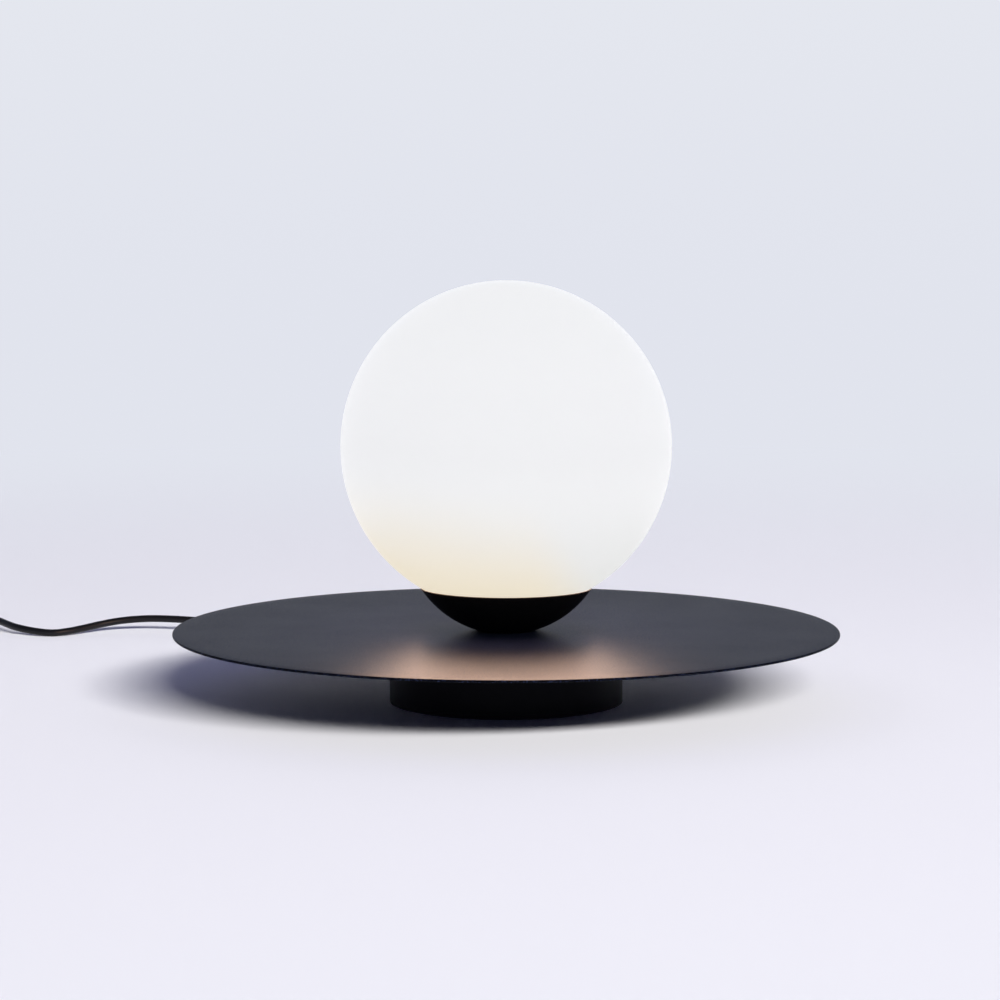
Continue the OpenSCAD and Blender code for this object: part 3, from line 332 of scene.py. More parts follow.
SWITCH_X = -434.0
SWITCH_Y = 340.0
PIVOT_Z = 12.5
ROCKER_TILT_DEG = 7.0
ROCKER_HALF = 9.5
ROCKER_TOP = 5.6
ROCKER_DIP = 1.2
MARK_AT = 5.6
MARK_T = 0.12
MARK_LINE = 0.7
BAR_LONG = 3.4
RING_R = 1.7
RING_STEPS = 40
mark_white = moulded("mark_white", (0.62, 0.62, 0.6), (0.56, 0.56, 0.54),
                     rough=0.5, swing=0.15, scale=900.0, strength=0.1)


def on_rocker(side, along, across, lift):
    """A point on one of the rocker's two sloping faces, at the rocker's rest tilt."""
    slope = math.atan2(ROCKER_DIP, ROCKER_HALF)
    x = side * (MARK_AT + along * math.cos(slope) - lift * math.sin(slope))
    z = ROCKER_TOP - ROCKER_DIP + MARK_AT * math.tan(slope) + along * math.sin(slope) + lift * math.cos(slope)
    tilt = math.radians(ROCKER_TILT_DEG)
    return ((SWITCH_X + x * math.cos(tilt) + z * math.sin(tilt)) * MM, (SWITCH_Y + across) * MM,
            (PIVOT_Z - x * math.sin(tilt) + z * math.cos(tilt)) * MM)


def tidy_skin(piece, sharp_deg=40.0):
    """Closes seams, drops loose edges, turns the faces outwards and keeps sharp edges sharp."""
    work = bmesh.new()
    work.from_mesh(piece.data)
    bmesh.ops.remove_doubles(work, verts=work.verts, dist=MERGE_WITHIN)
    loose = [edge for edge in work.edges if not edge.link_faces]
    bmesh.ops.delete(work, geom=loose, context="EDGES")
    bmesh.ops.recalc_face_normals(work, faces=work.faces)
    work.to_mesh(piece.data)
    work.free()
    piece.data.polygons.foreach_set("use_smooth", [True] * len(piece.data.polygons))
    piece.data.set_sharp_from_angle(angle=math.radians(sharp_deg))
    return piece


def raised_mark(name, side, verts, faces):
    """A thin white mark on one face of the rocker, which moves with it."""
    mark = tidy_skin(new_piece(name, [on_rocker(side, *vert) for vert in verts], faces, mark_white.material))
    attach(mark, "rocker")
    return mark


def band_faces(rings, sides):
    """Faces that join each ring of points to the next and the last ring to the first."""
    return [(sides * i + k, sides * ((i + 1) % rings) + k, sides * ((i + 1) % rings) + (k + 1) % sides,
             sides * i + (k + 1) % sides) for i in range(rings) for k in range(sides)]


RING_IN = RING_R - MARK_LINE
ring_section = [(RING_R, -MARK_T), (RING_R, MARK_T), (RING_IN, MARK_T), (RING_IN, -MARK_T)]
ring_turns = [2 * math.pi * step / RING_STEPS for step in range(RING_STEPS)]
ring_verts = [(r * math.cos(t), r * math.sin(t), lift) for t in ring_turns for r, lift in ring_section]
off_mark = raised_mark("off_mark", -1, ring_verts, band_faces(RING_STEPS, 4))
bar_outline = [(-MARK_LINE / 2, -BAR_LONG / 2), (MARK_LINE / 2, -BAR_LONG / 2),
               (MARK_LINE / 2, BAR_LONG / 2), (-MARK_LINE / 2, BAR_LONG / 2)]
bar_verts = [(*corner, lift) for lift in (-MARK_T, MARK_T) for corner in bar_outline]
bar_faces = [(0, 1, 2, 3), (4, 5, 6, 7)] + [(k, (k + 1) % 4, 4 + (k + 1) % 4, 4 + k) for k in range(4)]
on_mark = raised_mark("on_mark", 1, bar_verts, bar_faces)


# Cord from the foot to the switch
# A round two-core lamp lead in smooth black plastic. It leaves the foot through a tapered sleeve, comes down
# to the floor, lies in loose curves behind the disc and ends in the switch on the left.

CORD_D = 4.8
LIE_GAP = 0.05
CORD_LIE = CORD_D / 2 + LIE_GAP
CORD_Z = 18.0
CORD_SIDES = 20
FOOT_R = 70.0
SLEEVE_LONG = 28.0
EXIT_SAG = 0.3
SWITCH_HALF = 31.0
SWITCH_SPLIT = 8.5
SWITCH_SLEEVE = 10.0
SHEATH_IN = 26.0
ROUTE_STEPS = 6
floor_run = [
    (-1, 122, 13), (-4, 138, 9), (-9, 154, 5), (-17, 171, 2), (-29, 190, 0.4), (-45, 210, 0),
    (-65, 231, 0), (-88, 251, 0), (-113, 269, 0.2), (-140, 284, 1), (-167, 294, 2.6), (-192, 300, 4.4),
    (-215, 303, 5.6), (-229, 305.5, 6), (-242, 307.5, 6), (-255, 307, 5.4), (-266, 304.5, 4.4),
    (-276, 300, 3), (-287, 292, 1.4), (-297, 284, 0.4), (-307, 280, 0), (-320, 283, 1),
    (-333, 292, 2.4), (-345, 308, 4), (-354, 322, 5), (-364, 332, 5.8), (-377, 338, 6.2),
]


def lying(run):
    return [(x, y, lift + CORD_LIE) for x, y, lift in run]


def smooth_line(points, steps):
    """A curve through the points, in metres, with that many steps between each two."""
    p = [Vector(point) for point in points]
    line = []
    for i in range(len(p) - 1):
        a, b, c, d = p[max(i - 1, 0)], p[i], p[i + 1], p[min(i + 2, len(p) - 1)]
        for step in range(steps):
            t = step / steps
            line.append(0.5 * (2 * b + (c - a) * t + (2 * a - 5 * b + 4 * c - d) * t * t
                               + (3 * b - a - 3 * c + d) * t ** 3))
    line.append(p[-1])
    return [point * MM for point in line]


def line_length(line):
    return sum((b - a).length for a, b in zip(line, line[1:]))


def tube_faces(rings, sides):
    """Faces of a closed body through rings of points, with a flat face at each end."""
    faces = [(sides * i + k, sides * i + (k + 1) % sides,
              sides * (i + 1) + (k + 1) % sides, sides * (i + 1) + k)
             for i in range(rings - 1) for k in range(sides)]
    return faces + [tuple(reversed(range(sides))), tuple(sides * (rings - 1) + k for k in range(sides))]


def round_tube(name, line, sides, material):
    """A round cord along a line, with its length and the way round it in a UV map."""
    verts = []
    for i, point in enumerate(line):
        along = (line[min(i + 1, len(line) - 1)] - line[max(i - 1, 0)]).normalized()
        across = along.cross(Vector((0, 0, 1))).normalized()
        up = across.cross(along)
        for side in range(sides):
            angle = 2 * math.pi * side / sides
            verts.append(point + CORD_D / 2 * MM * (math.cos(angle) * across + math.sin(angle) * up))
    tube = new_piece(name, verts, tube_faces(len(line), sides), material)
    far_along = [0.0]
    for a, b in zip(line, line[1:]):
        far_along.append(far_along[-1] + (b - a).length)
    uv = tube.data.uv_layers.new(name="along")
    for face in tube.data.polygons:
        for corner in face.loop_indices:
            ring, side = divmod(tube.data.loops[corner].vertex_index, sides)
            whole = side == 0 and face.vertices[0] % sides == sides - 1
            uv.data[corner].uv = (far_along[ring], 1.0 if whole else side / sides)
    return tube


sheath = Finish("cord_sheath", Specular_IOR_Level=0.25)
sheath_patch = sheath.grain(60.0, 2.0)
sheath.set(Base_Color=sheath.blend(sheath_patch, (0.0035, 0.0035, 0.0045), (0.0065, 0.0065, 0.008)),
           Roughness=0.32 + 0.14 * sheath_patch,
           Normal=sheath.bump(sheath.grain(900.0, 3.0), 0.12, 0.0002))

lamp_route = [(0, FOOT_R + SLEEVE_LONG / 2, CORD_Z), (0, FOOT_R + SLEEVE_LONG, CORD_Z),
              (0, FOOT_R + SLEEVE_LONG + 2 * CORD_D, CORD_Z - EXIT_SAG)]
lamp_route += lying(floor_run)
lamp_route += [(SWITCH_X + SWITCH_HALF + SWITCH_SLEEVE + CORD_D, SWITCH_Y, SWITCH_SPLIT),
               (SWITCH_X + SWITCH_HALF + SWITCH_SLEEVE, SWITCH_Y, SWITCH_SPLIT),
               (SWITCH_X + SHEATH_IN, SWITCH_Y, SWITCH_SPLIT)]
lamp_line = smooth_line(lamp_route, ROUTE_STEPS)
lamp_cord = round_tube("cord_to_switch", lamp_line, CORD_SIDES, sheath.material)
switch_nodes = ["switch_base", "switch_cover", "switch_rocker", "rocker_pin", "switch_sleeves",
                "switch_terminals", "contact_strip", "switch_cores", "switch_screws"]
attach(lamp_cord, "lamp_base")
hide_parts("cord_lamp_side")
line_length(lamp_line)
[frame["nodes"][node] for node in switch_nodes] + [off_mark, on_mark]


# Coil tie
# A flat black plastic band goes once round the put-away coil of cord, low through its hole and over its
# outer edge, and holds the turns together.

COIL_X = -480.0
COIL_Y = 252.0
COIL_R = 35.0
LAYER_TURNS = 2.75
CLIMB_TURNS = 0.5
TURN_GAP = 0.5
TURN_STEP = CORD_D + TURN_GAP
TIE_T = 0.6
TIE_W = 6.0
TIE_ANGLE_DEG = 40.0
TIE_BEND = 2.2
TIE_GAP = 0.1
BEND_STEPS = 6
LOWER_LAYER = TIE_T + TIE_GAP + CORD_D / 2
UPPER_LAYER = LOWER_LAYER + TURN_STEP
coil_turns = 2 * LAYER_TURNS + CLIMB_TURNS
coil_inner = COIL_R - TURN_STEP * coil_turns / 2
tie_low_r = coil_inner - CORD_D / 2 - TIE_GAP
tie_high_r = COIL_R + CORD_D / 2 + TIE_GAP
tie_top = UPPER_LAYER + CORD_D / 2 + TIE_GAP
tie_plastic = moulded("tie_plastic", (0.05, 0.05, 0.053), (0.065, 0.065, 0.07),
                      rough=0.42, swing=0.2, scale=1400.0, strength=0.15)


def rounded_loop(low, high, bottom, top, bend):
    """Points round a rectangle with rounded corners, each with its way out."""
    points = []
    corners = ((high, top, 0), (low, top, 90), (low, bottom, 180), (high, bottom, 270))
    for x, z, start in corners:
        centre_x = x - bend if x == high else x + bend
        centre_z = z - bend if z == top else z + bend
        for step in range(BEND_STEPS + 1):
            angle = math.radians(start + 90 * step / BEND_STEPS)
            points.append((centre_x + bend * math.cos(angle), centre_z + bend * math.sin(angle),
                           math.cos(angle), math.sin(angle)))
    return points


tie_turn = math.radians(TIE_ANGLE_DEG)
tie_out = Vector((math.cos(tie_turn), math.sin(tie_turn), 0.0))
tie_side = Vector((-math.sin(tie_turn), math.cos(tie_turn), 0.0))
tie_middle = Vector((COIL_X, COIL_Y, 0.0))
tie_loop = rounded_loop(tie_low_r, tie_high_r, TIE_T, tie_top, TIE_BEND)
tie_verts = []
for radius, height, out_x, out_z in tie_loop:
    for thick, side in ((0, -1), (0, 1), (TIE_T, 1), (TIE_T, -1)):
        spot = tie_middle + (radius + thick * out_x) * tie_out + side * TIE_W / 2 * tie_side
        spot.z = height + thick * out_z
        tie_verts.append(spot * MM)
coil_band = tidy_skin(new_piece("coil_band", tie_verts, band_faces(len(tie_loop), 4), tie_plastic.material))
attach(coil_band, "lamp_base")
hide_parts("coil_tie")


# Plug
# A flat two-pin plug moulded onto the cord in one piece of black plastic, with a tapered tail, a waisted
# body, a row of grip ribs and insulating sleeves on its nickel-plated pins. It lies on the floor.

COIL_TAIL = 24.0
PLUG_OVERLAP = 8.0
PLUG_X = COIL_X - COIL_R
PLUG_Y = COIL_Y - COIL_TAIL + PLUG_OVERLAP
PLUG_Z = UPPER_LAYER
PLUG_FACE = 50.0
PLUG_SIDES = 48
ROUND_DEG = 50.0
PIN_APART = 18.6
PIN_SLEEVE_R = 2.0
PIN_SLEEVE_LONG = 10.0
PIN_SLEEVE_SUNK = 1.0
PIN_SLEEVE_BEVEL = 0.3
PIN_SLEEVE_CUT = 0.25
PIN_SLEEVE_SIDES = 24
plug_rings = [
    (0.0, 3.0, 3.0, 2.0), (0.4, 3.5, 3.5, 2.0), (5.0, 4.0, 4.0, 2.0), (10.0, 4.5, 4.5, 2.0),
    (13.5, 5.0, 4.9, 2.1), (16.0, 6.7, 5.4, 2.4), (19.0, 9.6, 6.1, 2.8), (23.0, 12.9, 7.0, 3.2),
    (27.0, 15.2, 7.7, 3.4), (31.0, 16.6, 8.1, 3.6), (36.0, 17.3, 8.35, 3.8), (42.0, 17.5, PLUG_Z, 4.0),
    (46.5, 17.5, PLUG_Z, 4.2), (48.3, 17.2, 8.2, 4.2), (49.4, 16.4, 7.6, 4.2), (PLUG_FACE, 15.0, 6.4, 4.2),
]


def squarish(angle, half_w, half_h, power):
    c, s = math.cos(angle), math.sin(angle)
    return math.copysign(half_w * abs(c) ** (2 / power), c), math.copysign(half_h * abs(s) ** (2 / power), s)


def lofted(rings, sides, placed):
    """Verts and faces of a closed body through squarish rings along its length."""
    verts = [placed(along, *squarish(2 * math.pi * side / sides, half_w, half_h, power))
             for along, half_w, half_h, power in rings for side in range(sides)]
    return verts, tube_faces(len(rings), sides)


def in_plug(along, across, up):
    return (PLUG_X + across) * MM, (PLUG_Y - along) * MM, (PLUG_Z + up) * MM


plug_verts, plug_faces = lofted(plug_rings, PLUG_SIDES, in_plug)
sleeve_tip = PIN_SLEEVE_R - PIN_SLEEVE_CUT
sleeve_rings = [(PLUG_FACE - PIN_SLEEVE_SUNK, PIN_SLEEVE_R, PIN_SLEEVE_R, 2.0),
                (PLUG_FACE + PIN_SLEEVE_LONG - PIN_SLEEVE_BEVEL, PIN_SLEEVE_R, PIN_SLEEVE_R, 2.0),
                (PLUG_FACE + PIN_SLEEVE_LONG, sleeve_tip, sleeve_tip, 2.0)]
for pin_x in (-PIN_APART / 2, PIN_APART / 2):
    sleeve_verts, sleeve_faces = lofted(sleeve_rings, PIN_SLEEVE_SIDES,
                                        lambda along, across, up: in_plug(along, across + pin_x, up))
    start = len(plug_verts)
    plug_verts += sleeve_verts
    plug_faces += [tuple(start + corner for corner in face) for face in sleeve_faces]
plug_plastic = moulded("plug_plastic", (0.014, 0.014, 0.016), (0.02, 0.02, 0.022),
                       rough=0.44, swing=0.16, scale=1500.0, strength=0.25)
plug = tidy_skin(new_piece("plug_moulding", plug_verts, plug_faces, plug_plastic.material), ROUND_DEG)
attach(plug, "lamp_base")
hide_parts("plug_body")


def tree_of(name, inputs):
    """A new geometry tree: a bench for its nodes, its input sockets and the values they give."""
    tree = bpy.data.node_groups.new(name, "GeometryNodeTree")
    sockets = {word: tree.interface.new_socket(word, in_out="INPUT", socket_type="NodeSocket" + kind)
               for word, kind in inputs.items()}
    tree.interface.new_socket("Skin", in_out="OUTPUT", socket_type="NodeSocketGeometry")
    given = tree.nodes.new("NodeGroupInput")
    return Bench(tree), sockets, {word: Signal(tree, given.outputs[word]) for word in inputs}


def close_tree(bench, skin, finish):
    """Ends a tree in realised copies with their finish."""
    real = bench.node("GeometryNodeRealizeInstances", {}, {"Geometry": skin})
    dressed = bench.node("GeometryNodeSetMaterial", {}, {"Geometry": real, "Material": finish})
    bench.feed(bench.tree.nodes.new("NodeGroupOutput"), "Skin", dressed)


def grown(seed, bench, sockets, **values):
    """Runs a tree on a seed piece and leaves a plain mesh with no modifier."""
    grow = seed.modifiers.new("grow", "NODES")
    grow.node_group = bench.tree
    for word, value in values.items():
        grow[sockets[word].identifier] = value
    made = bpy.data.meshes.new_from_object(seed.evaluated_get(bpy.context.evaluated_depsgraph_get()))
    seed.modifiers.clear()
    old = seed.data
    seed.data = made
    bpy.data.meshes.remove(old)
    made.name = seed.name
    return seed


RIB_COUNT = 5
RIB_STEP = 2.6
RIB_START = 33.0
RIB_LONG = 15.0
RIB_R = 0.45
RIB_TIP = 0.1
RIB_TAPER = 0.25
RIB_SUNK = 0.1
RIB_SIDES = 12
RIB_Z = 2 * PLUG_Z - RIB_SUNK
rib_bench, rib_inputs, rib_take = tree_of("grip_ribs", {
    "Rib": "Geometry", "Count": "Int", "Step": "Float", "Finish": "Material"})
rib_way = rib_bench.node("ShaderNodeCombineXYZ", {}, {"Y": 0.0 - rib_take["Step"]})
rib_line = rib_bench.node("GeometryNodeMeshLine", {}, {"Count": rib_take["Count"], "Offset": rib_way})
rib_copies = rib_bench.node("GeometryNodeInstanceOnPoints", {}, {
    "Points": rib_line, "Instance": rib_take["Rib"]})
close_tree(rib_bench, rib_copies, rib_take["Finish"])
rib_rings = [(-RIB_LONG / 2, RIB_TIP, RIB_TIP, 2.0), (-RIB_LONG / 2 + RIB_TAPER, RIB_R, RIB_R, 2.0),
             (RIB_LONG / 2 - RIB_TAPER, RIB_R, RIB_R, 2.0), (RIB_LONG / 2, RIB_TIP, RIB_TIP, 2.0)]
rib_verts, rib_faces = lofted(rib_rings, RIB_SIDES, lambda along, across, up: (
    (PLUG_X + along) * MM, (PLUG_Y - RIB_START + across) * MM, (RIB_Z + up) * MM))
rib_seed = tidy_skin(new_piece("plug_ribs", rib_verts, rib_faces, plug_plastic.material))
plug_ribs = grown(rib_seed, rib_bench, rib_inputs, Count=RIB_COUNT, Step=RIB_STEP * MM,
                  Finish=plug_plastic.material)
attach(plug_ribs, "lamp_base")
nickel = moulded("nickel_brass", (0.66, 0.64, 0.6), (0.72, 0.7, 0.66),
                 rough=0.2, swing=0.12, scale=500.0, strength=0.06, Metallic=1.0)
coat(nickel, "plug_pins")


# Cord from the switch to the plug
# The same lead goes on from the switch. Its unused length is put away as a flat coil of two layers, and its
# outer end runs into the plug.

COIL_RINGS = 48
COIL_SIDES = 16
coil_run = [
    (-489, 338.5, 5.6), (-499, 334, 4.4), (-507, 326, 3), (-513, 314, 1.6),
    (-515, 300, 0.9), (-515, 285, 0.7),
]


def coil_point(turn):
    radius = COIL_R - TURN_STEP * min(turn, coil_turns - turn)
    climb = min(max(turn - LAYER_TURNS, 0), CLIMB_TURNS) / CLIMB_TURNS
    angle = math.pi + 2 * math.pi * turn
    return Vector((COIL_X + radius * math.cos(angle), COIL_Y + radius * math.sin(angle),
                   LOWER_LAYER + TURN_STEP * climb))


switch_end = SWITCH_X - SWITCH_HALF - SWITCH_SLEEVE
plug_route = [(SWITCH_X - SHEATH_IN, SWITCH_Y, SWITCH_SPLIT), (switch_end, SWITCH_Y, SWITCH_SPLIT),
              (switch_end - CORD_D, SWITCH_Y, SWITCH_SPLIT)]
plug_route += lying(coil_run)
plug_route += [(COIL_X - COIL_R, COIL_Y + CORD_D, LOWER_LAYER)]
plug_line = smooth_line(plug_route, ROUTE_STEPS)
coil_steps = round(coil_turns * COIL_RINGS)
plug_line += [coil_point(step / COIL_RINGS) * MM for step in range(coil_steps + 1)]
for share in (1 / 3, 2 / 3, 1):
    plug_line.append(Vector((COIL_X - COIL_R, COIL_Y - share * COIL_TAIL, UPPER_LAYER)) * MM)
plug_cord = round_tube("cord_to_plug", plug_line, COIL_SIDES, sheath.material)
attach(plug_cord, "lamp_base")
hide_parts("cord_plug_side", "cord_coil")
line_length(plug_line)


# Drum foot
# A spun steel drum, open below, in smooth dark gloss paint. The disc lies on its flat top, and the cord
# leaves through a hole in its wall.

foot_paint = moulded("foot_paint", (0.001, 0.0012, 0.0032), (0.0016, 0.0018, 0.0042),
                     rough=0.34, swing=0.14, scale=260.0, strength=0.05, Specular_IOR_Level=0.05)
coat(foot_paint, "foot_shell")


# Disc
# A wide round sheet of steel with a softly rounded edge, powder coated in satin black. The coat is full of
# fine pale grains that catch the light and blur what it mirrors.

DISC_EDGE = 0.55
EDGE_STEPS = 6
TUBE_HOLE_R = 5.1
TURN_SEGMENTS = 192
turn_bench, turn_inputs, turn_take = tree_of("turned_skin", {
    "Profile": "Geometry", "Segments": "Int", "Finish": "Material"})
turn_count = turn_bench.node("GeometryNodeAttributeDomainSize", {}, {"Geometry": turn_take["Profile"]})
turn_index = turn_bench.node("GeometryNodeInputIndex", {}, {})
turn_place = turn_bench.node("GeometryNodeInputPosition", {}, {})
turn_grid = turn_bench.node("GeometryNodeMeshGrid", {}, {
    "Vertices X": turn_take["Segments"] + 1, "Vertices Y": turn_count})
turn_slice = turn_index.math("FLOOR", turn_index / turn_count)
turn_spot = turn_bench.node("GeometryNodeSampleIndex", {"data_type": "FLOAT_VECTOR"}, {
    "Geometry": turn_take["Profile"], "Value": turn_place, "Index": turn_index - turn_slice * turn_count})
turn_swung = turn_bench.node("ShaderNodeVectorRotate", {"rotation_type": "Z_AXIS"}, {
    "Vector": turn_spot, "Angle": turn_slice * (2 * math.pi) / turn_take["Segments"]})
turn_skin = turn_bench.node("GeometryNodeSetPosition", {}, {"Geometry": turn_grid, "Position": turn_swung})
close_tree(turn_bench, turn_skin, turn_take["Finish"])


def turned(name, profile, finish, sharp_deg=40.0):
    """A piece turned from a profile of radii and heights in millimetres."""
    mesh = bpy.data.meshes.new(name)
    edges = [(i, i + 1) for i in range(len(profile) - 1)]
    mesh.from_pydata([(r * MM, 0.0, z * MM) for r, z in profile], edges, [])
    seed = bpy.data.objects.new(name, mesh)
    scene.collection.objects.link(seed)
    piece = grown(seed, turn_bench, turn_inputs, Segments=TURN_SEGMENTS, Finish=finish.material)
    return tidy_skin(piece, sharp_deg)


def arc(centre_r, centre_z, radius, start_deg, end_deg, steps):
    turns = [math.radians(start_deg + (end_deg - start_deg) * i / steps) for i in range(steps + 1)]
    return [(centre_r + radius * math.cos(t), centre_z + radius * math.sin(t)) for t in turns]


disc_low, disc_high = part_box("disc_plate")
disc_r = disc_high.x / MM
disc_under = disc_low.z / MM
disc_top = disc_high.z / MM
disc_rings = [40.0, 80.0, 120.0, 160.0, 190.0]
disc_profile = [(TUBE_HOLE_R, disc_under)] + [(r, disc_under) for r in disc_rings]
disc_profile += arc(disc_r - DISC_EDGE, disc_under + DISC_EDGE, DISC_EDGE, -90, 0, EDGE_STEPS)
disc_profile += arc(disc_r - DISC_EDGE, disc_top - DISC_EDGE, DISC_EDGE, 0, 90, EDGE_STEPS)
disc_profile += [(r, disc_top) for r in reversed(disc_rings)]
disc_profile += [(TUBE_HOLE_R, disc_top), (TUBE_HOLE_R, disc_under)]
PAINT_DARK = (0.001, 0.0013, 0.0031)
PAINT_FLECK = (0.0165, 0.0225, 0.051)
FLECK_BAND = (0.52, 0.66)
disc_paint = Finish("satin_black_paint", Specular_IOR_Level=0.016)
paint_cloud = disc_paint.grain(22.0, 3.0)
paint_fine = disc_paint.grain(1400.0, 2.0)
paint_fleck = disc_paint.rise(disc_paint.grain(1000.0, 1.0), *FLECK_BAND)
disc_paint.set(Base_Color=disc_paint.blend(paint_fleck, PAINT_DARK, PAINT_FLECK),
               Roughness=0.28 + 0.06 * paint_cloud + 0.14 * paint_fleck, Metallic=0.035 * paint_fleck,
               Normal=disc_paint.bump(0.5 * paint_fine + 0.5 * paint_fleck, 0.5, 0.0002))
disc = turned("disc", disc_profile, disc_paint)
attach(disc, "lamp_base")
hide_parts("disc_plate")


# Threaded tube, washer and nuts
# A zinc-plated steel tube with a thread runs up through the drum, the disc, the cup and the strap. A nut
# above and a nut with a washer below pull them together, and the leads go up through its bore.

coat(zinc, "threaded_tube", "lower_nut", "lower_washer", "upper_nut")


# Cup
# A shallow bowl of spun steel painted black, inside and out, flat where it stands on the disc. Its rim is
# turned to the globe's own curve, so the glass closes it without a gap.

CUP_RIM_R = 52.0
CUP_H = 26.5
CUP_BASE_R = 16.5
CUP_WALL = 1.5
CUP_LIP = 0.25
GLOBE_R = 99.0
SEAT_GAP = 0.3
BOWL_STEPS = 24
RIM_STEPS = 4
LINING_STEPS = 20
cup_mid = (CUP_RIM_R ** 2 + CUP_H ** 2 - CUP_BASE_R ** 2) / (2 * CUP_H)
cup_r = math.hypot(CUP_BASE_R, cup_mid)
cup_in = cup_r - CUP_WALL
cup_centre = disc_top + cup_mid
globe_z = disc_top + CUP_H + math.sqrt(GLOBE_R ** 2 - CUP_RIM_R ** 2)
seat_r = GLOBE_R + SEAT_GAP
rim_outer = CUP_RIM_R - CUP_LIP
rim_inner_z = (cup_in ** 2 - seat_r ** 2 - cup_centre ** 2 + globe_z ** 2) / (2 * (globe_z - cup_centre))
rim_inner = math.sqrt(cup_in ** 2 - (rim_inner_z - cup_centre) ** 2)


def ball_line(radius, centre, start_r, end_r, steps):
    """Points along the underside of a ball between two distances from the axis."""
    start, end = math.asin(start_r / radius), math.asin(end_r / radius)
    turns = [start + (end - start) * i / steps for i in range(steps + 1)]
    return [(radius * math.sin(t), centre - radius * math.cos(t)) for t in turns]


cup_floor = disc_top + CUP_WALL
cup_floor_r = math.sqrt(cup_in ** 2 - (cup_centre - cup_floor) ** 2)
cup_profile = [(TUBE_HOLE_R, disc_top)] + ball_line(cup_r, cup_centre, CUP_BASE_R, rim_outer, BOWL_STEPS)
cup_profile += ball_line(seat_r, globe_z, rim_outer - CUP_LIP / 2, rim_inner, RIM_STEPS)
cup_profile += ball_line(cup_in, cup_centre, rim_inner, cup_floor_r, LINING_STEPS)[1:]
cup_profile += [(TUBE_HOLE_R, cup_floor), (TUBE_HOLE_R, disc_top)]
cup_paint = moulded("cup_paint", (0.0016, 0.0016, 0.0019), (0.0024, 0.0024, 0.0028),
                    rough=0.42, swing=0.12, scale=900.0, strength=0.12, Specular_IOR_Level=0.1)
cup = turned("cup", cup_profile, cup_paint)
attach(cup, "lamp_base")
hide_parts("globe_cup")


# Spring collar and silicone ring
# A bright spring-steel collar stands in the cup, with three bowed tabs that press on the inside of the
# globe's neck. A pale silicone ring in the cup cushions the glass.

spring_steel = moulded("spring_steel", (0.5, 0.5, 0.52), (0.42, 0.42, 0.44),
                       rough=0.24, swing=0.14, scale=300.0, strength=0.12, stretch=(1.0, 1.0, 12.0),
                       Metallic=1.0)
silicone = moulded("silicone", (0.62, 0.62, 0.59), (0.56, 0.56, 0.53),
                   rough=0.5, swing=0.14, scale=700.0, strength=0.1)
coat(spring_steel, "spring_collar")
coat(silicone, "globe_gasket")


# Lampholder
# A white ceramic block with two slots, screwed to a bent steel strap. Brass spring leaves inside it grip
# the bulb's pins, and the two leads are crimped in their barrels.

ceramic = moulded("white_ceramic", (0.74, 0.73, 0.69), (0.68, 0.67, 0.63),
                  rough=0.55, swing=0.2, scale=650.0, strength=0.25)
coat(ceramic, "lampholder")
coat(zinc, "holder_strap", "holder_screws")
coat(brass, "holder_contacts")


# Wiring in the foot
# The cord comes in through a grooved rubber sleeve, is held by a white nylon clamp and ends in a small
# terminal block. Brown and blue cores go into its brass tubes, and two leads go on up the threaded tube.

nylon = moulded("white_nylon", (0.78, 0.77, 0.72), (0.72, 0.71, 0.66),
                rough=0.42, swing=0.14, scale=900.0, strength=0.15)
brown_skin = moulded("brown_insulation", (0.16, 0.065, 0.025), (0.13, 0.05, 0.02),
                     rough=0.4, swing=0.12, scale=900.0, strength=0.08)
coat(rubber, "strain_relief")
coat(sheath, "cord_tail")
coat(nylon, "cord_clamp", "terminal_block")
coat(zinc, "clamp_screws", "terminal_screws")
coat(brass, "terminal_tubes")
coat(brown_skin, "live_core", "live_lead")
coat(blue_skin, "neutral_core", "neutral_lead")


# Weight and bottom cover
# A round of painted cast iron keeps the lamp steady. A black plastic cover closes the drum under it, held
# by three countersunk screws in posts that stand under the drum's top.

iron = moulded("iron", (0.03, 0.03, 0.032), (0.05, 0.048, 0.046),
               rough=0.6, swing=0.25, scale=240.0, strength=0.6, Metallic=0.4)
cover_plastic = moulded("black_plastic", (0.016, 0.016, 0.017), (0.022, 0.022, 0.024),
                        rough=0.5, swing=0.16, scale=1300.0, strength=0.35)
coat(iron, "ballast_weight")
coat(cover_plastic, "bottom_cover")
coat(zinc, "cover_screws", "cover_posts")


# Felt ring
# A ring of dark grey felt glued under the cover carries the lamp on the table. Its edges are soft and its
# face is fuzzy with short fibres.

FELT_SOFT = 0.7
FELT_OUTER = 66.7
FELT_INNER = 57.7
FELT_T = 2.5
FELT_STEPS = 5
felt = Finish("felt", Specular_IOR_Level=0.1, Sheen_Weight=0.4, Sheen_Roughness=0.6)
felt_fibre = felt.grain(1800.0, 4.0)
felt_cloud = felt.grain(120.0, 3.0)
felt_share = 0.6 * felt_fibre + 0.4 * felt_cloud
felt.set(Base_Color=felt.blend(felt_share, (0.03, 0.03, 0.033), (0.075, 0.075, 0.08)),
         Roughness=0.85 + 0.1 * felt_cloud, Normal=felt.bump(felt_fibre, 0.8, 0.0005))
felt_profile = arc(FELT_OUTER - FELT_SOFT, FELT_SOFT, FELT_SOFT, -90, 0, FELT_STEPS)
felt_profile += [(FELT_OUTER, FELT_T), (FELT_INNER, FELT_T)]
felt_profile += arc(FELT_INNER + FELT_SOFT, FELT_SOFT, FELT_SOFT, 180, 270, FELT_STEPS)
felt_profile += [felt_profile[0]]
felt_ring = turned("felt_ring", felt_profile, felt)
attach(felt_ring, "lamp_base")
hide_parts("foot_pad")


# Bulb
# A plug-in bulb with two wire loops for pins, a white plastic base and a frosted cover over a small board
# of warm light chips. It shines warm white and lights the globe from inside.

